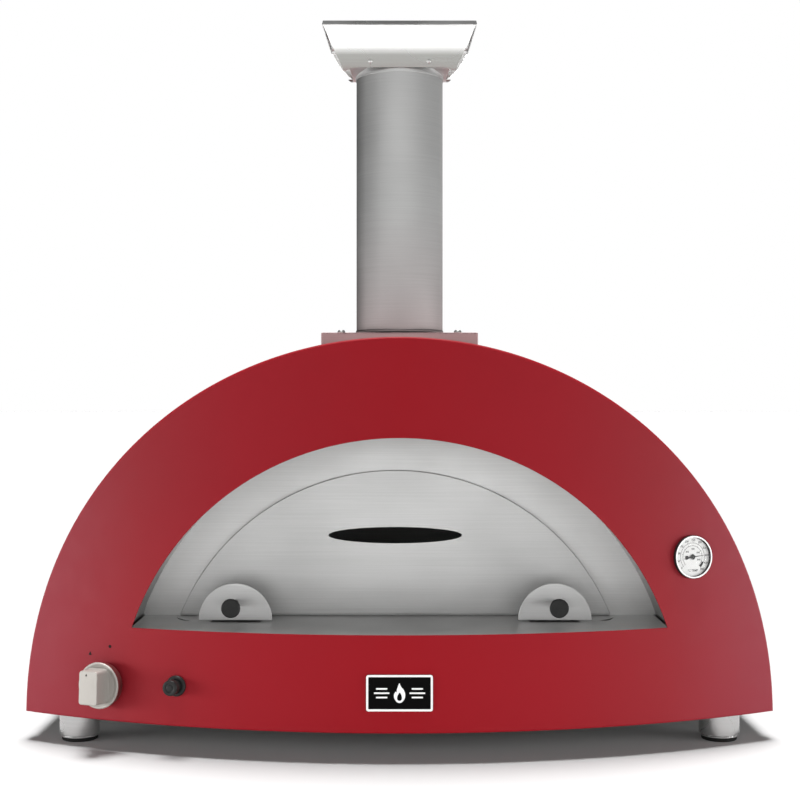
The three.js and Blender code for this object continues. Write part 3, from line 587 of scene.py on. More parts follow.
def plate(loops, thickness, edge=0.4 * MM, rim=None, bend=None):
    """A sheet with rounded edges from height 0 up. rim = (depth, wall) folds the outline's edge up."""
    parts, fronts, backs = [], [], []
    for number, loop in enumerate(loops):
        loop = run_round(loop, anticlockwise=number == 0)
        arc = edge_arc(bend or edge) if number == 0 else edge_arc(edge)
        if number == 0 and rim:
            section = arc + [(0, rim[0]), (rim[1], rim[0]), (rim[1], thickness)]
        else:
            back = edge_arc(edge)
            section = arc + [(inset, thickness - height) for inset, height in reversed(back)]
        rings = [[(x, y, height) for x, y in offset(loop, inset)] for inset, height in section]
        parts.append(stack(rings))
        fronts.append(rings[0])
        backs.append(rings[-1])
    vertices, faces = joined(*parts)
    starts, total = [], 0
    for part_vertices, _ in parts:
        starts.append(total)
        total += len(part_vertices)
    for side, rings in enumerate((fronts, backs)):
        index = []
        for number, ring in enumerate(rings):
            first = starts[number] + (len(parts[number][0]) - len(ring) if side else 0)
            index += range(first, first + len(ring))
        faces += [[index[i] for i in face] for face in capped(rings)]
    return vertices, faces


def block(section_loop, section):
    """A solid whose outline is drawn in by the insets of (inset, height) steps."""
    loop = run_round(section_loop)
    rings = [[(x, y, height) for x, y in offset(loop, inset)] for inset, height in section]
    vertices, faces = stack(rings)
    last = len(vertices) - len(loop)
    faces += capped([rings[0]])
    faces += [[last + i for i in face] for face in capped([rings[-1]])]
    return vertices, faces


def turned(profile, segments=72, ring=False):
    """[radius, height] points turned about the local Z. A ring's profile closes on itself."""
    vertices, faces, rows = [], [], []
    for radius, height in profile:
        on_axis = radius < 1e-7
        rows.append((len(vertices), on_axis))
        for i in range(1 if on_axis else segments):
            angle = 2 * pi * i / segments
            vertices.append((radius * cos(angle), radius * sin(angle), height))
    pairs = list(zip(rows, rows[1:] + rows[:1])) if ring else list(zip(rows, rows[1:]))
    for (a, a_axis), (b, b_axis) in pairs:
        for i in range(segments):
            j = (i + 1) % segments
            if a_axis:
                faces.append([a, b + i, b + j])
            elif b_axis:
                faces.append([a + i, a + j, b])
            else:
                faces.append([a + i, a + j, b + j, b + i])
    return vertices, faces


def shell(outer, inner):
    """A closed sheet between two equal grids of points."""
    rows, columns = len(outer), len(outer[0])
    vertices = [point for grid in (outer, inner) for row in grid for point in row]
    half = rows * columns

    def number(side, row, column):
        return side * half + row * columns + column

    faces = []
    for r in range(rows - 1):
        for c in range(columns - 1):
            for side in (0, 1):
                corners = ((r, c), (r, c + 1), (r + 1, c + 1), (r + 1, c))
                faces.append([number(side, *corner) for corner in corners])
        for c in (0, columns - 1):
            faces.append([number(0, r, c), number(0, r + 1, c), number(1, r + 1, c), number(1, r, c)])
    for c in range(columns - 1):
        for r in (0, rows - 1):
            faces.append([number(0, r, c), number(0, r, c + 1), number(1, r, c + 1), number(1, r, c)])
    return vertices, faces


def sheet_arch(radius, rise, wall, base_z, front, back_y, steps=144, rows=16):
    """An arched sheet from a front edge, given as a function of (x, z), to a straight back edge."""
    grids = []
    for inset in (0, wall):
        line = arch(radius - inset, rise - inset, base_z, steps)
        grid = []
        for x, z in line:
            start = front(x, z)
            grid.append([(x, start + (back_y - start) * k / rows, z) for k in range(rows + 1)])
        grids.append(grid)
    return shell(*grids)


# ---------------------------------------------------------------- pieces


def shaped(name, part, place=None):
    """A mesh object of a part, with its normals made to agree."""
    mesh = bpy.data.meshes.new(name)
    mesh.from_pydata(part[0], [], part[1])
    if place:
        mesh.transform(place)
    shape = bmesh.new()
    shape.from_mesh(mesh)
    bmesh.ops.remove_doubles(shape, verts=shape.verts, dist=1e-7)
    bmesh.ops.recalc_face_normals(shape, faces=shape.faces)
    shape.to_mesh(mesh)
    shape.free()
    made = bpy.data.objects.new(name, mesh)
    bpy.context.scene.collection.objects.link(made)
    return made


def cut(target, *cutters):
    """Takes the cutters away from the target, and deletes them."""
    for cutter in cutters:
        step = target.modifiers.new("cut", "BOOLEAN")
        step.solver = "EXACT"
        step.object = cutter
    bpy.context.view_layer.update()
    done = bpy.data.meshes.new_from_object(target.evaluated_get(bpy.context.evaluated_depsgraph_get()))
    target.modifiers.clear()
    target.data = done
    for cutter in cutters:
        bpy.data.objects.remove(cutter)


def dress(made, finish, body, crease=40, bevel=0.0):
    """Material, soft shading, and the CAD body that the piece rides on."""
    made.data.materials.clear()
    made.data.materials.append(FINISHES[finish])
    made.data.shade_smooth()
    made.data.set_sharp_from_angle(angle=radians(crease))
    if bevel:
        edges = made.modifiers.new("edges", "BEVEL")
        edges.width, edges.segments = bevel, 2
        edges.limit_method, edges.angle_limit = "ANGLE", radians(50)
    made.modifiers.new("shading", "WEIGHTED_NORMAL").keep_sharp = True
    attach(made, body)
    return made


def fine(node, part, place=None, finish=None, cutters=(), crease=40, bevel=0.0):
    """A fine piece that stands for a CAD node."""
    made = shaped(f"{node}_fine", part, place)
    if cutters:
        cut(made, *cutters)
    dress(made, finish or SLOT_OF[node], BODY_OF[node], crease, bevel)
    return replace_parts(made, node)


def detail(name, part, slot, like, place=None, finish=None, crease=40):
    """A small piece that CAD leaves out, riding with the CAD node it is on."""
    return dress(shaped(name, part, place), finish or slot, BODY_OF[like], crease)


def cutter(part, place=None):
    return shaped("cutter", part, place)


# ---------------------------------------------------------------- casing


def front_panel():
    """The bowed sheet: closed rings round the arch and base, from the folded rim to the mouth and back."""
    steps, base_steps, across = 168, 84, 12
    edge, (depth, wall) = 0.7 * MM, PANEL_RIM

    def outline(inset):
        return arch_loop(HALF_WIDTH - inset, RISE - inset, BASE_Z + inset, steps, base_steps)

    def mouth(inset):
        radius = MOUTH_RADIUS + inset
        return arch_loop(radius, radius, SILL_Z - inset, steps, base_steps)

    def between(outer, inner):
        for k in range(1, across):
            t = k / across
            yield [(a[0] + (b[0] - a[0]) * t, a[1] + (b[1] - a[1]) * t) for a, b in zip(outer, inner)]

    rings = [(outline(0), depth)]
    rings += [(outline(inset), height) for inset, height in reversed(edge_arc(PANEL_BEND, 5))]
    rings += [(loop, 0) for loop in between(outline(PANEL_BEND), mouth(edge))]
    rings += [(mouth(inset), height) for inset, height in edge_arc(edge)]
    rings += [(mouth(0), PANEL_SHEET - edge), (mouth(edge), PANEL_SHEET)]
    rings += [(loop, PANEL_SHEET) for loop in between(mouth(edge), outline(wall))]
    rings += [(outline(wall), PANEL_SHEET), (outline(wall), depth)]
    placed = [[(x, face_y(x, z) + back, z) for x, z in loop] for loop, back in rings]
    part = stack(placed + placed[:1])
    drills = [
        cutter(turned([(0, -0.012), (radius, -0.012), (radius, 0.012), (0, 0.012)], 40), on_face(*place))
        for place, radius in ((KNOB_AT, 9 * MM), (IGNITER_AT, 11 * MM), (GAUGE_AT, 6 * MM))
    ]
    fine("front_panel", part, cutters=drills)


def dome_shell():
    lowest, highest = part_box("dome_shell")
    rise = highest.z - ARCH_Z
    clear = PANEL_SHEET + GAP
    part = sheet_arch(highest.x, rise, 2 * MM, lowest.z, lambda x, z: face_y(x, z) + clear, highest.y)
    fine("dome_shell", part, bevel=0.3 * MM)


def rear_panel():
    lowest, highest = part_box("rear_panel")
    loops = [arch_loop(highest.x, highest.z - ARCH_Z, lowest.z)]
    for side in (-1, 1):
        for row in range(4):
            loops.append(rounded_rectangle(90 * MM, 7 * MM, 3.4 * MM, side * 0.230, 0.072 + 0.018 * row))
    inlet = middle("gas_inlet")
    loops.append(circle(12 * MM, inlet.x, inlet.z))
    part = plate(loops, 2 * MM, rim=(highest.y - lowest.y, PANEL_RIM[1]), bend=PANEL_BEND)
    fine("rear_panel", part, upright(highest.y, -1))


def casing_screws():
    """Pan-headed screws round the rear panel and along the foot of the dome."""
    head = soften(mm((0, 0), (5, 0), (5, 1.2), (3.4, 2.6), (0, 2.6)), MM, closed=False)
    screw = turned(head, 28)
    lowest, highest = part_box("rear_panel")
    inset = 14 * MM
    line = arch(highest.x - inset, highest.z - ARCH_Z - inset, lowest.z + 2 * inset, 10)
    parts = [moved(screw, at(x, highest.y, z) @ Matrix.Rotation(-pi / 2, 4, "X")) for x, z in line]
    side_x = high("dome_shell").x
    for side in (-1, 1):
        for y in (-0.18, 0.06, 0.30):
            turn = Matrix.Rotation(side * pi / 2, 4, "Y")
            parts.append(moved(screw, at(side * side_x * 0.9993, y, 0.068) @ turn))
    detail("casing_screws", joined(*parts), "plain_steel", "rear_panel")


def feet():
    for place in ("front_left", "front_right", "rear_left", "rear_right"):
        node, pad = f"foot_{place}", f"foot_pad_{place}"
        centre, shoulder = middle(node), BASE_Z - GAP
        radius, foot_low = size(node).x / 2, low(node).z
        profile = [
            (0, foot_low), (radius - 3 * MM, foot_low), (radius - 2 * MM, foot_low + 0.8 * MM),
            (radius - 2 * MM, foot_low + 2.6 * MM), (radius - 3 * MM, foot_low + 3.0 * MM),
            (radius - 3 * MM, foot_low + 3.8 * MM), (radius, foot_low + 4.2 * MM), (radius, shoulder),
            (5 * MM, shoulder), (5 * MM, high(node).z), (0, high(node).z),
        ]
        fine(node, turned(soften(profile, 0.4 * MM, closed=False, steps=2), 96), at(centre.x, centre.y),
             finish="brushed_foot")
        pad_radius, pad_top = size(pad).x / 2, high(pad).z
        profile = [(0, 0), (pad_radius - 0.6 * MM, 0), (pad_radius, 1.2 * MM), (pad_radius, pad_top),
                   (0, pad_top)]
        fine(pad, turned(soften(profile, 0.4 * MM, closed=False, steps=3), 96), at(centre.x, centre.y))


# ---------------------------------------------------------------- recess and chamber


def mouth_shelf():
    lowest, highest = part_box("mouth_shelf")
    half_width, back_y = highest.x, highest.y
    near = PANEL_SHEET + 2 * GAP
    steps = 60
    xs = [-half_width + 2 * half_width * k / steps for k in range(steps + 1)]
    front = [(x, face_y(x, highest.z) + near) for x in xs]
    loops = [front + [(half_width, back_y), (-half_width, back_y)]]
    door_x = middle("door_panel").x
    back_tip, near_tip = (14, 18), (-13, -14)  # millimetres outwards and back from the crescent's middle
    for side in (-1, 1):
        x, y = door_x + side * 0.320, FRONT_Y + 0.155
        crescent = []
        for bend, marks in (((1, -6), range(0, 10)), ((1, -24), range(10, 0, -1))):
            for k in marks:
                u, v = (bezier(back_tip[i], bend[i], near_tip[i], k / 10) for i in (0, 1))
                crescent.append((x + side * u * MM, y + v * MM))
        loops.append(crescent)
    top = moved(plate(loops, 2 * MM, edge=0.3 * MM), level(highest.z))
    grids = []
    for back in (0, 2 * MM):
        grids.append([[(x, y + back, z) for z in (lowest.z, highest.z - 1.9 * MM)] for x, y in front])
    fine("mouth_shelf", joined(top, shell(*grids)), finish="brushed_across")


def mouth_lining():
    lowest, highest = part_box("mouth_lining")
    clear = PANEL_SHEET + GAP
    radius = highest.z - ARCH_Z
    part = sheet_arch(radius, radius, 1.5 * MM, lowest.z, lambda x, z: face_y(x, z) + clear, highest.y)
    fine("mouth_lining", part, finish="brushed_back")


def facade_plate():
    lowest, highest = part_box("facade_plate")
    outer = arch_loop(highest.x, highest.z - ARCH_Z, lowest.z)
    hole = arch_loop(0.340, 0.340, 0.183)
    fine("facade_plate", plate([outer, hole], highest.y - lowest.y), upright(lowest.y))


def chamber_arch():
    lowest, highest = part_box("chamber_arch")
    radius = highest.x
    part = sheet_arch(radius, radius, 2 * MM, lowest.z, lambda x, z: lowest.y, highest.y, steps=120, rows=12)
    flue = middle("flue_pipe")
    bore = turned([(0, 0.44), (FLUE_BORE, 0.44), (FLUE_BORE, 0.52), (0, 0.52)], 64)
    probe = turned([(0, -0.24), (5 * MM, -0.24), (5 * MM, 0), (0, 0)], 24)
    cutters = [cutter(bore, at(flue.x, flue.y)), cutter(probe, on_face(*GAUGE_AT))]
    fine("chamber_arch", part, finish="dark_steel", cutters=cutters)


def floor_tiles():
    for node in ("floor_tile_left", "floor_tile_right"):
        lowest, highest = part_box(node)
        centre, sides = middle(node), size(node)
        chamfer = 2.5 * MM
        section = [(0, lowest.z), (0, highest.z - chamfer), (chamfer * 0.35, highest.z - chamfer * 0.3),
                   (chamfer, highest.z)]
        loop = rounded_rectangle(sides.x, sides.y, 3 * MM)
        fine(node, block(loop, section), at(centre.x, centre.y))


def burner():
    lowest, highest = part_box("burner_tube")
    radius, length = size("burner_tube").x / 2, size("burner_tube").y
    profile = [(0, 0), (radius - MM, 0), (radius, MM), (radius, length - MM), (radius - MM, length),
               (0, length)]
    centre_x, centre_z = middle("burner_tube").x, lowest.z + radius
    along_y = Matrix.Rotation(-pi / 2, 4, "X")
    slots = []
    for k in range(12):
        slot = block(rectangle(2.4 * MM, 18 * MM), [(0, 0), (0, 20 * MM)])
        slots.append(moved(slot, at(centre_x, lowest.y + 0.069 + 0.022 * k, centre_z + 4 * MM)))
    place = at(centre_x, lowest.y, centre_z) @ along_y
    fine("burner_tube", turned(profile, 48), place, cutters=[cutter(joined(*slots))])
    centre, base, top = middle("spark_electrode"), low("spark_electrode").z, high("spark_electrode").z
    profile = [(0, base), (6 * MM, base), (6 * MM, base + 6 * MM), (4 * MM, base + 8 * MM),
               (4 * MM, top - 16 * MM), (1.2 * MM, top - 15.5 * MM), (1.2 * MM, top), (0, top)]
    fine("spark_electrode", turned(soften(profile, 0.6 * MM, closed=False), 32), at(centre.x, centre.y))


# ---------------------------------------------------------------- door


def door():
    lowest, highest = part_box("door_panel")
    centre_x = (lowest.x + highest.x) / 2
    radius = highest.z - ARCH_Z
    outline = arch_loop(radius, radius, lowest.z, x=centre_x)
    slot = circle(102.5 * MM, centre_x, 0.303, 96, stretch=12.4 / 102.5)
    part = plate([outline, slot], 1.5 * MM, edge=0.3 * MM, rim=(highest.y - lowest.y, MM), bend=1.2 * MM)
    fine("door_panel", part, upright(lowest.y), finish="door_steel")
    fold = 8 * MM
    half_chord = sqrt(radius**2 - (lowest.z + fold - ARCH_Z) ** 2) - 2 * MM
    strip = rectangle(2 * half_chord, fold - 2 * MM, centre_x, lowest.z + fold / 2)
    detail("door_hem", plate([strip], 0.6 * MM, edge=0.25 * MM), "brushed_steel", "door_panel",
           upright(lowest.y - 0.5 * MM), "door_steel")


def brackets():
    for side in ("left", "right"):
        node, peg = f"door_bracket_{side}", f"door_handle_{side}"
        lowest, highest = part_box(node)
        centre_x, radius = middle(node).x, size(node).x / 2
        peg_x, peg_z = middle(peg).x, middle(peg).z
        angles = [pi * k / 64 for k in range(65)]
        top = [(centre_x + radius * cos(a), lowest.z + radius * sin(a)) for a in angles]
        hole = circle(3.8 * MM, peg_x, peg_z, 32)
        face = moved(plate([top, hole], 2 * MM, edge=0.4 * MM), upright(lowest.y))
        half = 38 * MM
        shoe_back = [(centre_x - half, highest.y), (centre_x + half, highest.y)]
        shoe = [(centre_x + half, lowest.y + 1.9 * MM), (centre_x - half, lowest.y + 1.9 * MM)]
        shoe = moved(plate([shoe + shoe_back], 2 * MM, edge=0.3 * MM), level(lowest.z + 2 * MM))
        fine(node, joined(face, shoe), finish="door_steel")
        tip_y, root_y = low(peg).y, lowest.y - GAP
        length, tip = root_y - tip_y, size(peg).x / 2
        profile = [
            (0, -8 * MM), (3.5 * MM, -8 * MM), (3.5 * MM, 0), (5 * MM, 0), (5 * MM, length * 0.3),
            (tip - 1.5 * MM, length - 7 * MM), (tip, length - 3.5 * MM), (tip, length - 1.2 * MM),
            (tip - 1.2 * MM, length), (tip - 2.2 * MM, length - 0.5 * MM), (0, length - 0.5 * MM),
        ]
        place = at(peg_x, root_y, peg_z) @ Matrix.Rotation(pi / 2, 4, "X")
        fine(peg, turned(soften(profile, 0.8 * MM, closed=False), 80), place)


# ---------------------------------------------------------------- chimney


def flue():
    lowest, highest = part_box("flue_pipe")
    centre, radius = middle("flue_pipe"), size("flue_pipe").x / 2
    wall = 1.5 * MM
    bead = [(radius - wall, lowest.z), (radius + 0.9 * MM, lowest.z),
            (radius + 1.2 * MM, lowest.z + 1.5 * MM), (radius + 0.9 * MM, lowest.z + 3 * MM),
            (radius, lowest.z + 4 * MM)]
    rings = [(radius, lowest.z + (highest.z - lowest.z) * k / 12) for k in range(1, 12)]
    profile = bead + rings + [(radius, highest.z), (radius - wall, highest.z)]
    fine("flue_pipe", turned(profile, 128, ring=True), at(centre.x, centre.y), finish="brushed_flue")
    bottom, top, outer = low("flue_gasket").z, high("flue_gasket").z, size("flue_gasket").x / 2
    section = [(outer - 3 * MM, bottom), (outer, bottom), (outer, top), (outer - 3 * MM, top)]
    fine("flue_gasket", turned(soften(section, 0.8 * MM), 128, ring=True), at(centre.x, centre.y))
    seam = rounded_rectangle(9 * MM, highest.z - lowest.z - 12 * MM, 2 * MM)
    place = at(centre.x, centre.y + radius - 0.3 * MM, centre.z) @ Matrix.Rotation(-pi / 2, 4, "X")
    detail("flue_seam", block(seam, [(0, 0), (0, 0.6 * MM), (0.5 * MM, MM)]), "brushed_steel", "flue_pipe",
           place, "brushed_steel")


def flue_box():
    lowest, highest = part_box("flue_box")
    centre, sides, wall, bend = middle("flue_box"), size("flue_box"), 2 * MM, 2.2 * MM
    bottom = lowest.z - 20 * MM
    section = [(0, bottom)] + [(inset, highest.z - height) for inset, height in reversed(edge_arc(bend, 4))]
    body = block(rounded_rectangle(sides.x, sides.y, bend), section)
    hollow_top = highest.z - wall
    hollow = block(rectangle(sides.x - 2 * wall, sides.y - 2 * wall), [(0, bottom - MM), (0, hollow_top)])
    dome_radius, dome_rise = high("dome_shell").x, high("dome_shell").z - ARCH_Z
    under = plate([arch_loop(dome_radius, dome_rise, 0.1, 240)], 0.9, edge=1e-6)
    bore = turned([(0, 0.6), (FLUE_BORE, 0.6), (FLUE_BORE, 0.64), (0, 0.64)], 96)
    holes = [
        cutter(turned([(0, 0.6), (2.4 * MM, 0.6), (2.4 * MM, 0.64), (0, 0.64)], 24), at(spot.x, spot.y))
        for spot in (middle(f"box_screw_{k}") for k in (1, 2, 3, 4))
    ]
    place = at(centre.x, centre.y)
    cutters = [cutter(hollow, place), cutter(under, upright(-0.5)), cutter(bore, place), *holes]
    fine("flue_box", body, place, cutters=cutters, crease=30, finish="brushed_box")
    for k in (1, 2, 3, 4):
        node = f"box_screw_{k}"
        spot, top, seat = middle(node), high(node).z, highest.z + GAP
        profile = [(0, low(node).z), (2 * MM, low(node).z), (2 * MM, seat), (6 * MM, seat),
                   (6 * MM, seat + 1.6 * MM), (4.4 * MM, top), (2.2 * MM, top), (2.2 * MM, top - 1.8 * MM),
                   (0, top - 1.8 * MM)]
        fine(node, turned(soften(profile, 0.5 * MM, closed=False), 40), at(spot.x, spot.y))


CAP_RADIUS = 90 * MM
CAP_CENTRE_Z = 1.086
# Each cap sheet: its side of the flue, then in front view the foot and the bend of its side edge as (x, z),
# the edge's x at the top, the height of the foot's middle, and how far the foot's corners dip.
CAP_EDGES = {
    "cap_front_sheet": (-1, (0.0883, 1.033), (0.0985, 1.048), 0.1208, 1.0346, 4.6 * MM),
    "cap_rear_sheet": (1, (0.068, 1.0445), (0.100, 1.062), 0.1148, 1.043, 0.0),
}


def cap_sheet(node):
    """Half of the trough: drawn in towards the flue in front view, part of a circle in side view."""
    side, foot, bend, top_x, middle_z, dip = CAP_EDGES[node]
    lip_z = high(node).z
    steps, columns = 40, 48
    edge = [foot]
    for k in range(1, steps + 1):
        t = k / steps
        x = bezier(foot[0], bend[0], top_x, t)
        z = bezier(foot[1], bend[1], lip_z + 3 * MM, t)
        if z < lip_z:
            edge.append((x, z))
    edge.append((top_x, lip_z))
    flat_x, corner_x = foot[0] - 22 * MM, foot[0] - 3 * MM
    first = []
    for c in range(columns + 1):
        x = corner_x * (2 * c / columns - 1)
        out = max(0.0, (abs(x) - flat_x) / (corner_x - flat_x))
        first.append((x, middle_z - dip * out**1.6))
    rows = [first] + [[(x * (2 * c / columns - 1), z) for c in range(columns + 1)] for x, z in edge]
    ease = 6
    for r in range(1, ease):
        t = r / ease
        for c in range(columns + 1):
            (x, z), (_, foot_z) = rows[r][c], first[c]
            rows[r][c] = (x, foot_z * (1 - t) + z * t if z > foot_z else foot_z + 0.2 * MM * r)
    grids = []
    centre_y = middle("flue_pipe").y
    for inset in (0, 1.5 * MM):
        radius, grid = CAP_RADIUS - inset, []
        for row in rows:
            line = []
            for x, z in row:
                angle = asin(max(0.0, CAP_CENTRE_Z - z) / CAP_RADIUS)
                height = z if angle == 0 else CAP_CENTRE_Z - radius * sin(angle)
                line.append((x, centre_y + side * radius * cos(angle), height))
            grid.append(line)
        grids.append(grid)
    fine(node, shell(*grids), bevel=0.3 * MM, crease=50, finish="bright_sheet")


def cap_saddle():
    radius, low_z, half_depth, half_width, flare = 0.197, 1.033, 0.079, 0.076, 0.010
    centre = middle("flue_pipe")
    steps, columns, wall = 32, 32, 1.5 * MM
    grids = []
    for inset in (0, wall):
        grid = []
        for k in range(steps + 1):
            t = k / steps
            y = half_depth * (2 * t - 1)
            width = (half_width + flare) * ((1 - t) ** 2 + t**2) + 2 * t * (1 - t) * (half_width - flare)
            z = low_z + radius - sqrt(radius**2 - y**2) + inset
            grid.append([(width * (2 * c / columns - 1), y, z) for c in range(columns + 1)])
        grids.append(grid)
    bore = size("flue_pipe").x / 2 + GAP
    hole = turned([(0, 1.0), (bore, 1.0), (bore, 1.1), (0, 1.1)], 96)
    place = at(centre.x, centre.y)
    fine("cap_saddle", shell(*grids), place, cutters=[cutter(hole, place)], crease=50)
    collar = [(bore, low_z - 4 * MM), (bore + 1.2 * MM, low_z - 4 * MM), (bore + 1.2 * MM, low_z + 24 * MM),
              (bore, low_z + 24 * MM)]
    collar = turned(soften(collar, 0.4 * MM, steps=2), 96, ring=True)
    detail("cap_collar", collar, "brushed_steel", "cap_saddle", place)


def cap():
    for node in CAP_EDGES:
        cap_sheet(node)
    cap_saddle()
    centre, sides, top = middle("cap_roof"), size("cap_roof"), high("cap_roof").z
    wall, drop, lean = 1.2 * MM, sides.z, 1.5 * MM  # the folded edge leans out as it drops
    wide, narrow, deep = sides.x / 2, 116 * MM, sides.y / 2
    loop = soften([(wide, -deep), (narrow, deep), (-narrow, deep), (-wide, -deep)], 1.5 * MM)
    section = [(lean + 0.5 * MM, 0), (lean, 0.3 * MM), (0.1 * MM, drop - 0.3 * MM), (0.3 * MM, drop),
               (wall, drop), (lean + wall, 2 * MM)]
    lid = block(loop, section)
    fine("cap_roof", lid, at(centre.x, centre.y) @ level(top), finish="roof_steel")
    rivet = turned(soften(mm((0, -2), (3.2, -2), (3.2, 0.4), (2, 1.5), (0, 1.6)), 0.8 * MM, closed=False), 28)
    flue_y, z = middle("flue_pipe").y, 1.0425
    angle = asin((CAP_CENTRE_Z - z) / CAP_RADIUS)
    parts = []
    for side in (-1, 1):
        out = Vector((0, side * cos(angle), -sin(angle)))
        for x in (-0.046, 0.046):
            spot = Matrix.Translation(Vector((x, flue_y, CAP_CENTRE_Z)) + out * CAP_RADIUS)
            parts.append(moved(rivet, spot @ out.to_track_quat("Z", "Y").to_matrix().to_4x4()))
    detail("cap_rivets", joined(*parts), "brushed_steel", "cap_front_sheet")


# ---------------------------------------------------------------- controls


def control_knob():
    """A drum with a shallow dish in its face, and a bar grip that flares into the dish."""
    radius, back, face, grip_face = 33.5 * MM, 5 * MM, 22.5 * MM, 48 * MM
    bore, dish = 4.3 * MM, 1.8 * MM
    outer = [
        (bore, back), (radius - 3.4 * MM, back), (radius - 2.6 * MM, back + 1.2 * MM),
        (radius, face - 1.6 * MM), (radius - 1.4 * MM, face), (radius - 2.4 * MM, face),
        (radius - 7 * MM, face - dish), (0, face - dish),
    ]
    socket = [(0, face - 5 * MM), (bore, face - 5 * MM), (bore, back)]
    drum = turned(soften(outer, 0.6 * MM, closed=False) + socket, 96)
    grip_x, reach, corner = 15.5 * MM, 24.5 * MM, 5 * MM
    outline = rounded_rectangle(2 * grip_x, 2 * reach, corner)
    foot = face - dish - 0.6 * MM
    section = [(-2.2 * MM, foot), (-1.2 * MM, foot + MM), (-0.4 * MM, foot + 2.6 * MM), (0, foot + 5 * MM),
               (0.4 * MM, grip_face - 1.2 * MM), (0.8 * MM, grip_face - 0.3 * MM), (1.6 * MM, grip_face)]
    fine("control_knob", joined(drum, block(outline, section)), on_face(*KNOB_AT), crease=45)
    # The skirt's colour is a painted red reflection of the paint it faces.
    skirt = [(radius - 3 * MM, back + 1.4 * MM), (radius - 2.5 * MM, back + 1.4 * MM),
             (radius + 0.1 * MM, face - 1.8 * MM), (radius - MM, face - 1.8 * MM)]
    detail("knob_skirt", turned(skirt, 96, ring=True), "satin_nickel", "control_knob", on_face(*KNOB_AT),
           "painted_reflection_nickel")
    pointer = mm((0, 2.2), (-1.7, -1.3), (1.7, -1.3))
    spot = on_face(*KNOB_AT, grip_face + 0.2 * MM) @ at(-3 * MM, 18.5 * MM)
    detail("knob_pointer", plate([pointer], 0.25 * MM, edge=0.05 * MM), "black_plastic", "control_knob",
           spot @ level(0), "pale_ink")
    spindle = soften(mm((0, -40), (4, -40), (4, 17.4), (0, 17.4)), 0.5 * MM, closed=False)
    fine("valve_spindle", turned(spindle, 32), on_face(*KNOB_AT))


def panel_marks():
    """The off dot and the flame mark printed above the knob."""
    dot = circle(2.3 * MM, steps=28)
    flame = soften(mm((0, 3.6), (-2.8, -2), (2.8, -2)), 1.1 * MM)
    parts = []
    for mark, across, up in ((dot, 5 * MM, 54 * MM), (flame, -26.5 * MM, 41.5 * MM)):
        spot = on_face(KNOB_AT[0] + across, KNOB_AT[1] + up, 0.2 * MM)
        parts.append(moved(plate([mark], 0.15 * MM, edge=0.05 * MM), spot @ level(0)))
    detail("panel_marks", joined(*parts), "black_plastic", "front_panel", finish="printing_ink")


def igniter():
    ring, ring_face = 15 * MM, 5 * MM
    body = [(0, -40 * MM), (10.5 * MM, -40 * MM), (10.5 * MM, GAP), (ring, GAP), (ring, ring_face - 2 * MM),
            (ring - 2 * MM, ring_face), (9.4 * MM, ring_face), (9.4 * MM, -12 * MM), (0, -12 * MM)]
    fine("igniter_body", turned(soften(body, MM, closed=False, steps=3), 72), on_face(*IGNITER_AT))
    button = mm((0, -5), (9, -5), (9, 13.4), (11.2, 13.4), (11.2, 22.6), (9.8, 24), (7, 24), (6, 23),
                (4.6, 23), (3.8, 23.8), (0, 23.8))
    fine("igniter_button", turned(soften(button, 0.7 * MM, closed=False, steps=3), 72), on_face(*IGNITER_AT))


def lettering(text, height, lift):
    """The closed mesh of a few characters, centred on the local origin."""
    curve = bpy.data.curves.new("characters", "FONT")
    curve.body, curve.size, curve.extrude = text, height, 0.04 * MM
    curve.align_x, curve.align_y = "CENTER", "CENTER"
    curve.resolution_u, curve.offset = 3, 0.02 * height
    holder = bpy.data.objects.new("characters", curve)
    bpy.context.scene.collection.objects.link(holder)
    bpy.context.view_layer.update()
    mesh = holder.evaluated_get(bpy.context.evaluated_depsgraph_get()).to_mesh()
    vertices = [(v.co.x, v.co.y, v.co.z + lift) for v in mesh.vertices]
    faces = [list(face.vertices) for face in mesh.polygons]
    holder.to_mesh_clear()
    bpy.data.objects.remove(holder)
    return vertices, faces


def band(inner, outer, start, end, bottom, top, steps=60):
    """A flat arc between two radii, angles in degrees anticlockwise from the right."""
    angles = [radians(start + (end - start) * k / steps) for k in range(steps + 1)]
    grids = [[[(r * cos(a), r * sin(a), z) for r in (inner, outer)] for a in angles] for z in (bottom, top)]
    return shell(*grids)


GAUGE_SWEEP = (220, -50)  # degrees from the right at the cold and hot ends


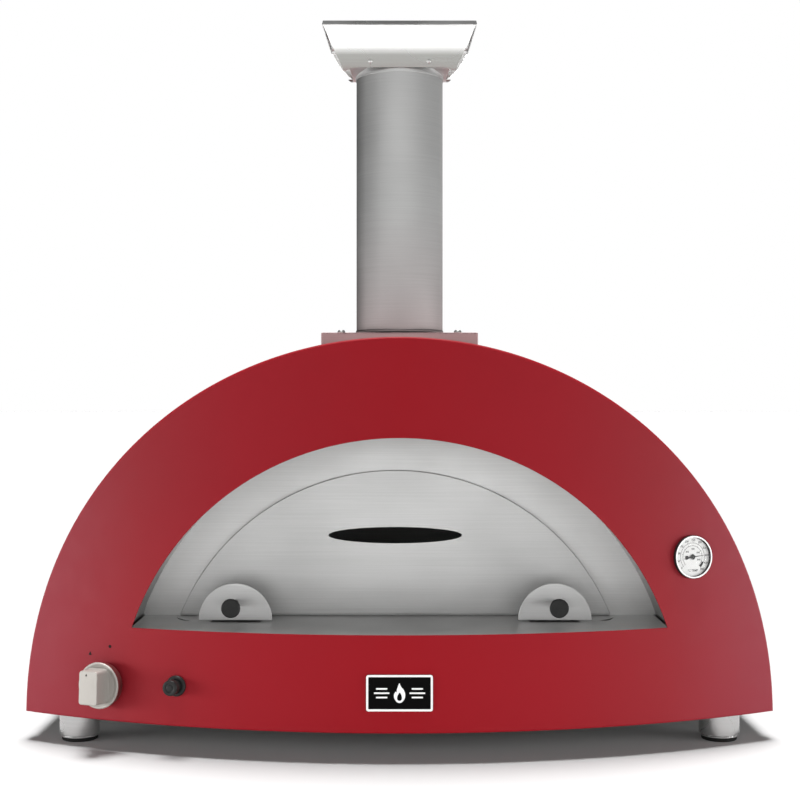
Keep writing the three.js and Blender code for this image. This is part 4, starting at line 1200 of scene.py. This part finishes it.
def gauge():
    place = on_face(*GAUGE_AT)
    radius, depth, dial, seat, top = 31.5 * MM, 6.8 * MM, 28.3 * MM, 1.2 * MM, 2.1 * MM
    case = [(3.5 * MM, GAP), (radius - MM, GAP), (radius, 1.3 * MM), (radius, depth - 1.6 * MM),
            (radius - 0.5 * MM, depth - 0.5 * MM), (radius - 1.4 * MM, depth), (dial + 0.6 * MM, depth),
            (dial, depth - 0.8 * MM), (dial, seat), (3.5 * MM, seat)]
    fine("gauge_case", turned(soften(case, 0.4 * MM, steps=3), 120, ring=True), place, finish="black_plastic")
    bezel = [
        (dial + 0.4 * MM, depth - 0.6 * MM), (radius - 0.7 * MM, depth - 0.6 * MM),
        (radius - 0.7 * MM, depth), (radius - 1.2 * MM, depth + 0.25 * MM),
        (dial + 0.8 * MM, depth + 0.25 * MM), (dial + 0.4 * MM, depth),
    ]
    bezel = turned(soften(bezel, 0.15 * MM, steps=2), 120, ring=True)
    detail("gauge_bezel", bezel, "dial_enamel", "gauge_case", place, "badge_white")
    disc = [(0, seat + GAP), (28 * MM, seat + GAP), (28 * MM, top), (0, top)]
    fine("gauge_dial", turned(disc, 96), place)
    gauge_print(place, top)
    needle = mm((21, 0), (3, 0.8), (-6, 0.9), (-9.5, 2.8), (-12.6, 2.2),
                (-12.6, -2.2), (-9.5, -2.8), (-6, -0.9), (3, -0.8))
    low_z, hub_z = 2.6 * MM, 4.0 * MM
    blade = moved(plate([soften(needle, 0.8 * MM)], 0.7 * MM, edge=0.15 * MM), at(0, 0, low_z))
    hub = [(0, low_z), (4 * MM, low_z), (4 * MM, hub_z - 0.4 * MM), (0, hub_z)]
    hub = turned(soften(hub, 0.4 * MM, closed=False), 40)
    pointing = Matrix.Rotation(radians(5), 4, "Z")
    fine("gauge_needle", joined(blade, hub), place @ pointing, finish="printing_ink")
    glass = mm((0, 4.6), (28, 4.6), (28, 5.4), (20, 5.7), (0, 5.8))
    fine("gauge_glass", turned(glass, 96), place)
    stem = mm((0, -198), (2.6, -196), (2.6, -8), (3.2, -8), (3.2, 0.9), (0, 0.9))
    stem = soften(stem, 0.4 * MM, closed=False)
    fine("gauge_stem", turned(stem, 32), place)


def gauge_print(place, top):
    """Two ringed scales with ticks, and plain numerals at each."""
    low_z = top - 0.02 * MM
    cold, hot = GAUGE_SWEEP
    strokes = [band(r * MM, (r + 0.45) * MM, cold, hot, low_z, low_z + 0.08 * MM) for r in (20.1, 16.0)]
    for k in range(51):
        angle = radians(cold + (hot - cold) * k / 50)
        length, width = (1.9, 0.55) if k % 5 == 0 else (1.0, 0.3)
        for start, scale in ((20.4, 1.0), (16.3, 0.8)):
            tick = rectangle(length * scale * MM, width * MM, (start + length * scale / 2) * MM)
            place_tick = Matrix.Rotation(angle, 4, "Z") @ at(0, 0, low_z)
            strokes.append(moved(block(tick, mm((0, 0), (0, 0.08))), place_tick))
    detail("gauge_scales", joined(*strokes), "black_plastic", "gauge_dial", place, "pale_ink")
    signs = [moved(lettering("\u00b0C TEMP", 4.6 * MM, low_z), at(0, -20 * MM))]
    outer, inner = (range(0, 11), 50, 0, 24.3, 4.2), (range(1, 10, 2), 90, 30, 11.6, 3.8)
    for marks, step, start, radius, height in (outer, inner):
        for k in marks:
            angle = radians(cold + (hot - cold) * k / 10)
            spot = Vector((radius * cos(angle), radius * sin(angle), 0)) * MM
            sign = lettering(str(k * step + start), height * MM, low_z)
            signs.append(moved(sign, Matrix.Translation(spot)))
    signs.append(band(17.2 * MM, 20.2 * MM, -50, -24, low_z, low_z + 0.08 * MM))
    detail("gauge_numerals", joined(*signs), "black_plastic", "gauge_dial", place, "printing_ink")


def badge():
    width, height, thickness = 94 * MM, 51 * MM, 1.1 * MM
    place = on_face(*BADGE_AT, GAP + thickness)
    face = plate([rounded_rectangle(width, height, 4 * MM)], thickness, edge=0.3 * MM)
    fine("badge_plate", face, place @ level(0), finish="badge_black")
    border = 3.2 * MM
    frame_loops = [rounded_rectangle(width - 0.4 * MM, height - 0.4 * MM, 3.8 * MM),
                   rounded_rectangle(width - 2 * border, height - 2 * border, 1.2 * MM)]
    lift = place @ at(0, 0, 0.5 * MM) @ level(0)
    parts = [plate(frame_loops, 0.55 * MM, edge=0.15 * MM)]
    flame = [(0, 15), (1.5, 9.5), (6.2, 4.5), (8.2, -1), (7.6, -7.5), (3.8, -12.6), (0, -14), (-3.8, -12.6),
             (-7.6, -7.5), (-8.0, -2), (-5.6, 2.6), (-4.4, 0.6), (-3.2, 7)]
    inner = [(0.2, 1.5), (-3.6, -5.2), (-3.0, -9.4), (0, -11), (3.0, -9.4), (3.6, -5.4), (2.2, -1.6)]
    emblem = [soften(mm(*loop), 2.4 * MM, steps=4) for loop in (flame, inner)]
    parts.append(plate(emblem, 0.55 * MM, edge=0.12 * MM))
    for side in (-1, 1):
        for row, half in ((6, 8), (0, 11), (-6, 8)):
            bar = rounded_rectangle(2 * half * MM, 2.2 * MM, 1 * MM, side * 25 * MM, row * MM)
            parts.append(plate([bar], 0.55 * MM, edge=0.12 * MM))
    detail("badge_relief", joined(*parts), "dial_enamel", "badge_plate", lift, "badge_white")


def gas_inlet():
    lowest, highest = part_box("gas_inlet")
    centre = middle("gas_inlet")
    length = highest.y - lowest.y
    profile = mm((0, 0), (8, 0), (8, 14), (9.5, 14), (9.5, 15), (7, 15), (7, 23))
    for k in range(6):
        y = 23 * MM + 1.4 * MM * k
        profile += [(7 * MM, y), (6.2 * MM, y + 0.7 * MM)]
    profile += [(6.4 * MM, length), (4.5 * MM, length), (4.5 * MM, 6 * MM), (0, 6 * MM)]
    hexagon = [(11 * MM * cos(pi / 3 * k), 11 * MM * sin(pi / 3 * k)) for k in range(6)]
    nut = block(hexagon, mm((1.2, 15), (0, 15.8), (0, 22), (1.2, 23)))
    place = at(centre.x, lowest.y, centre.z) @ Matrix.Rotation(-pi / 2, 4, "X")
    fine("gas_inlet", joined(turned(profile, 48), nut), place)


# ---------------------------------------------------------------- camera, floor and light


def studio():
    scene = bpy.context.scene
    scene.view_settings.view_transform = "Standard"
    camera_data = bpy.data.cameras.new("camera")
    camera_data.lens = CAMERA_LENS
    camera = bpy.data.objects.new("camera", camera_data)
    camera.location = CAMERA_AT
    camera.rotation_euler = (pi / 2, 0, 0)
    scene.collection.objects.link(camera)
    scene.camera = camera

    corners = [(x * FLOOR_SIZE, y * FLOOR_SIZE, 0) for x, y in ((-1, -1), (1, -1), (1, 1), (-1, 1))]
    floor = shaped("floor", (corners, [[0, 1, 2, 3]]))
    surface = make_material("pale_floor", (FLOOR_GREY,) * 3, 0.9, specular=0.0)
    floor.data.materials.append(surface)

    sky()
    sun = bpy.data.lights.new("overhead", "SUN")
    sun.energy = SUN_STRENGTH
    sun.angle = radians(SUN_WIDTH)
    lamp = bpy.data.objects.new("overhead", sun)
    lamp.rotation_euler = (radians(SUN_LEAN), 0, 0)
    scene.collection.objects.link(lamp)
    for name, setting in SOFTBOXES.items():
        softbox(name, *setting)


def sky():
    """White to the camera; to everything else a band of light that fades with height."""
    world = bpy.data.worlds.new("studio")
    bpy.context.scene.world = world
    world.use_nodes = True
    tree = world.node_tree
    direction = tree.nodes.new("ShaderNodeTexCoord")
    parts = tree.nodes.new("ShaderNodeSeparateXYZ")
    fade = tree.nodes.new("ShaderNodeMapRange")
    fade.interpolation_type = "SMOOTHSTEP"
    fade.inputs["From Min"].default_value = 0.15
    fade.inputs["From Max"].default_value = 0.55
    fade.inputs["To Min"].default_value = HORIZON_LIGHT
    fade.inputs["To Max"].default_value = ZENITH_LIGHT
    leftness = tree.nodes.new("ShaderNodeMath")
    leftness.operation = "SUBTRACT"
    dim = tree.nodes.new("ShaderNodeMapRange")
    dim.interpolation_type = "SMOOTHSTEP"
    dim.inputs["From Min"].default_value = -1.4
    dim.inputs["From Max"].default_value = -0.4
    dim.inputs["To Min"].default_value = 0.1
    dim.inputs["To Max"].default_value = 1.0
    product = tree.nodes.new("ShaderNodeMath")
    product.operation = "MULTIPLY"
    path = tree.nodes.new("ShaderNodeLightPath")
    mix = tree.nodes.new("ShaderNodeMix")
    mix.inputs["B"].default_value = 1.0
    tree.links.new(direction.outputs["Generated"], parts.inputs["Vector"])
    tree.links.new(parts.outputs["Z"], fade.inputs["Value"])
    tree.links.new(path.outputs["Is Camera Ray"], mix.inputs["Factor"])
    tree.links.new(parts.outputs["X"], leftness.inputs[0])
    tree.links.new(parts.outputs["Y"], leftness.inputs[1])
    tree.links.new(leftness.outputs["Value"], dim.inputs["Value"])
    tree.links.new(fade.outputs["Result"], product.inputs[0])
    tree.links.new(dim.outputs["Result"], product.inputs[1])
    tree.links.new(product.outputs["Value"], mix.inputs["A"])
    tree.links.new(mix.outputs["Result"], tree.nodes["Background"].inputs["Strength"])
    tree.nodes["Background"].inputs["Color"].default_value = (1, 1, 1, 1)


def softbox(name, place, target, sides, radiance):
    data = bpy.data.lights.new(name, "AREA")
    data.shape = "RECTANGLE"
    data.size, data.size_y = sides
    data.energy = radiance * pi * sides[0] * sides[1]
    lamp = bpy.data.objects.new(name, data)
    lamp.location = place
    lamp.rotation_euler = (Vector(target) - Vector(place)).to_track_quat("-Z", "Y").to_euler()
    lamp.visible_camera = False
    bpy.context.scene.collection.objects.link(lamp)


# ---------------------------------------------------------------- assembly

for node, made in frame["nodes"].items():
    made.data.materials.clear()
    made.data.materials.append(FINISHES[SLOT_OF[node]])

studio()
front_panel()
dome_shell()
rear_panel()
casing_screws()
feet()
mouth_shelf()
mouth_lining()
facade_plate()
chamber_arch()
floor_tiles()
burner()
door()
brackets()
flue()
flue_box()
cap()
control_knob()
panel_marks()
igniter()
gauge()
badge()
gas_inlet()
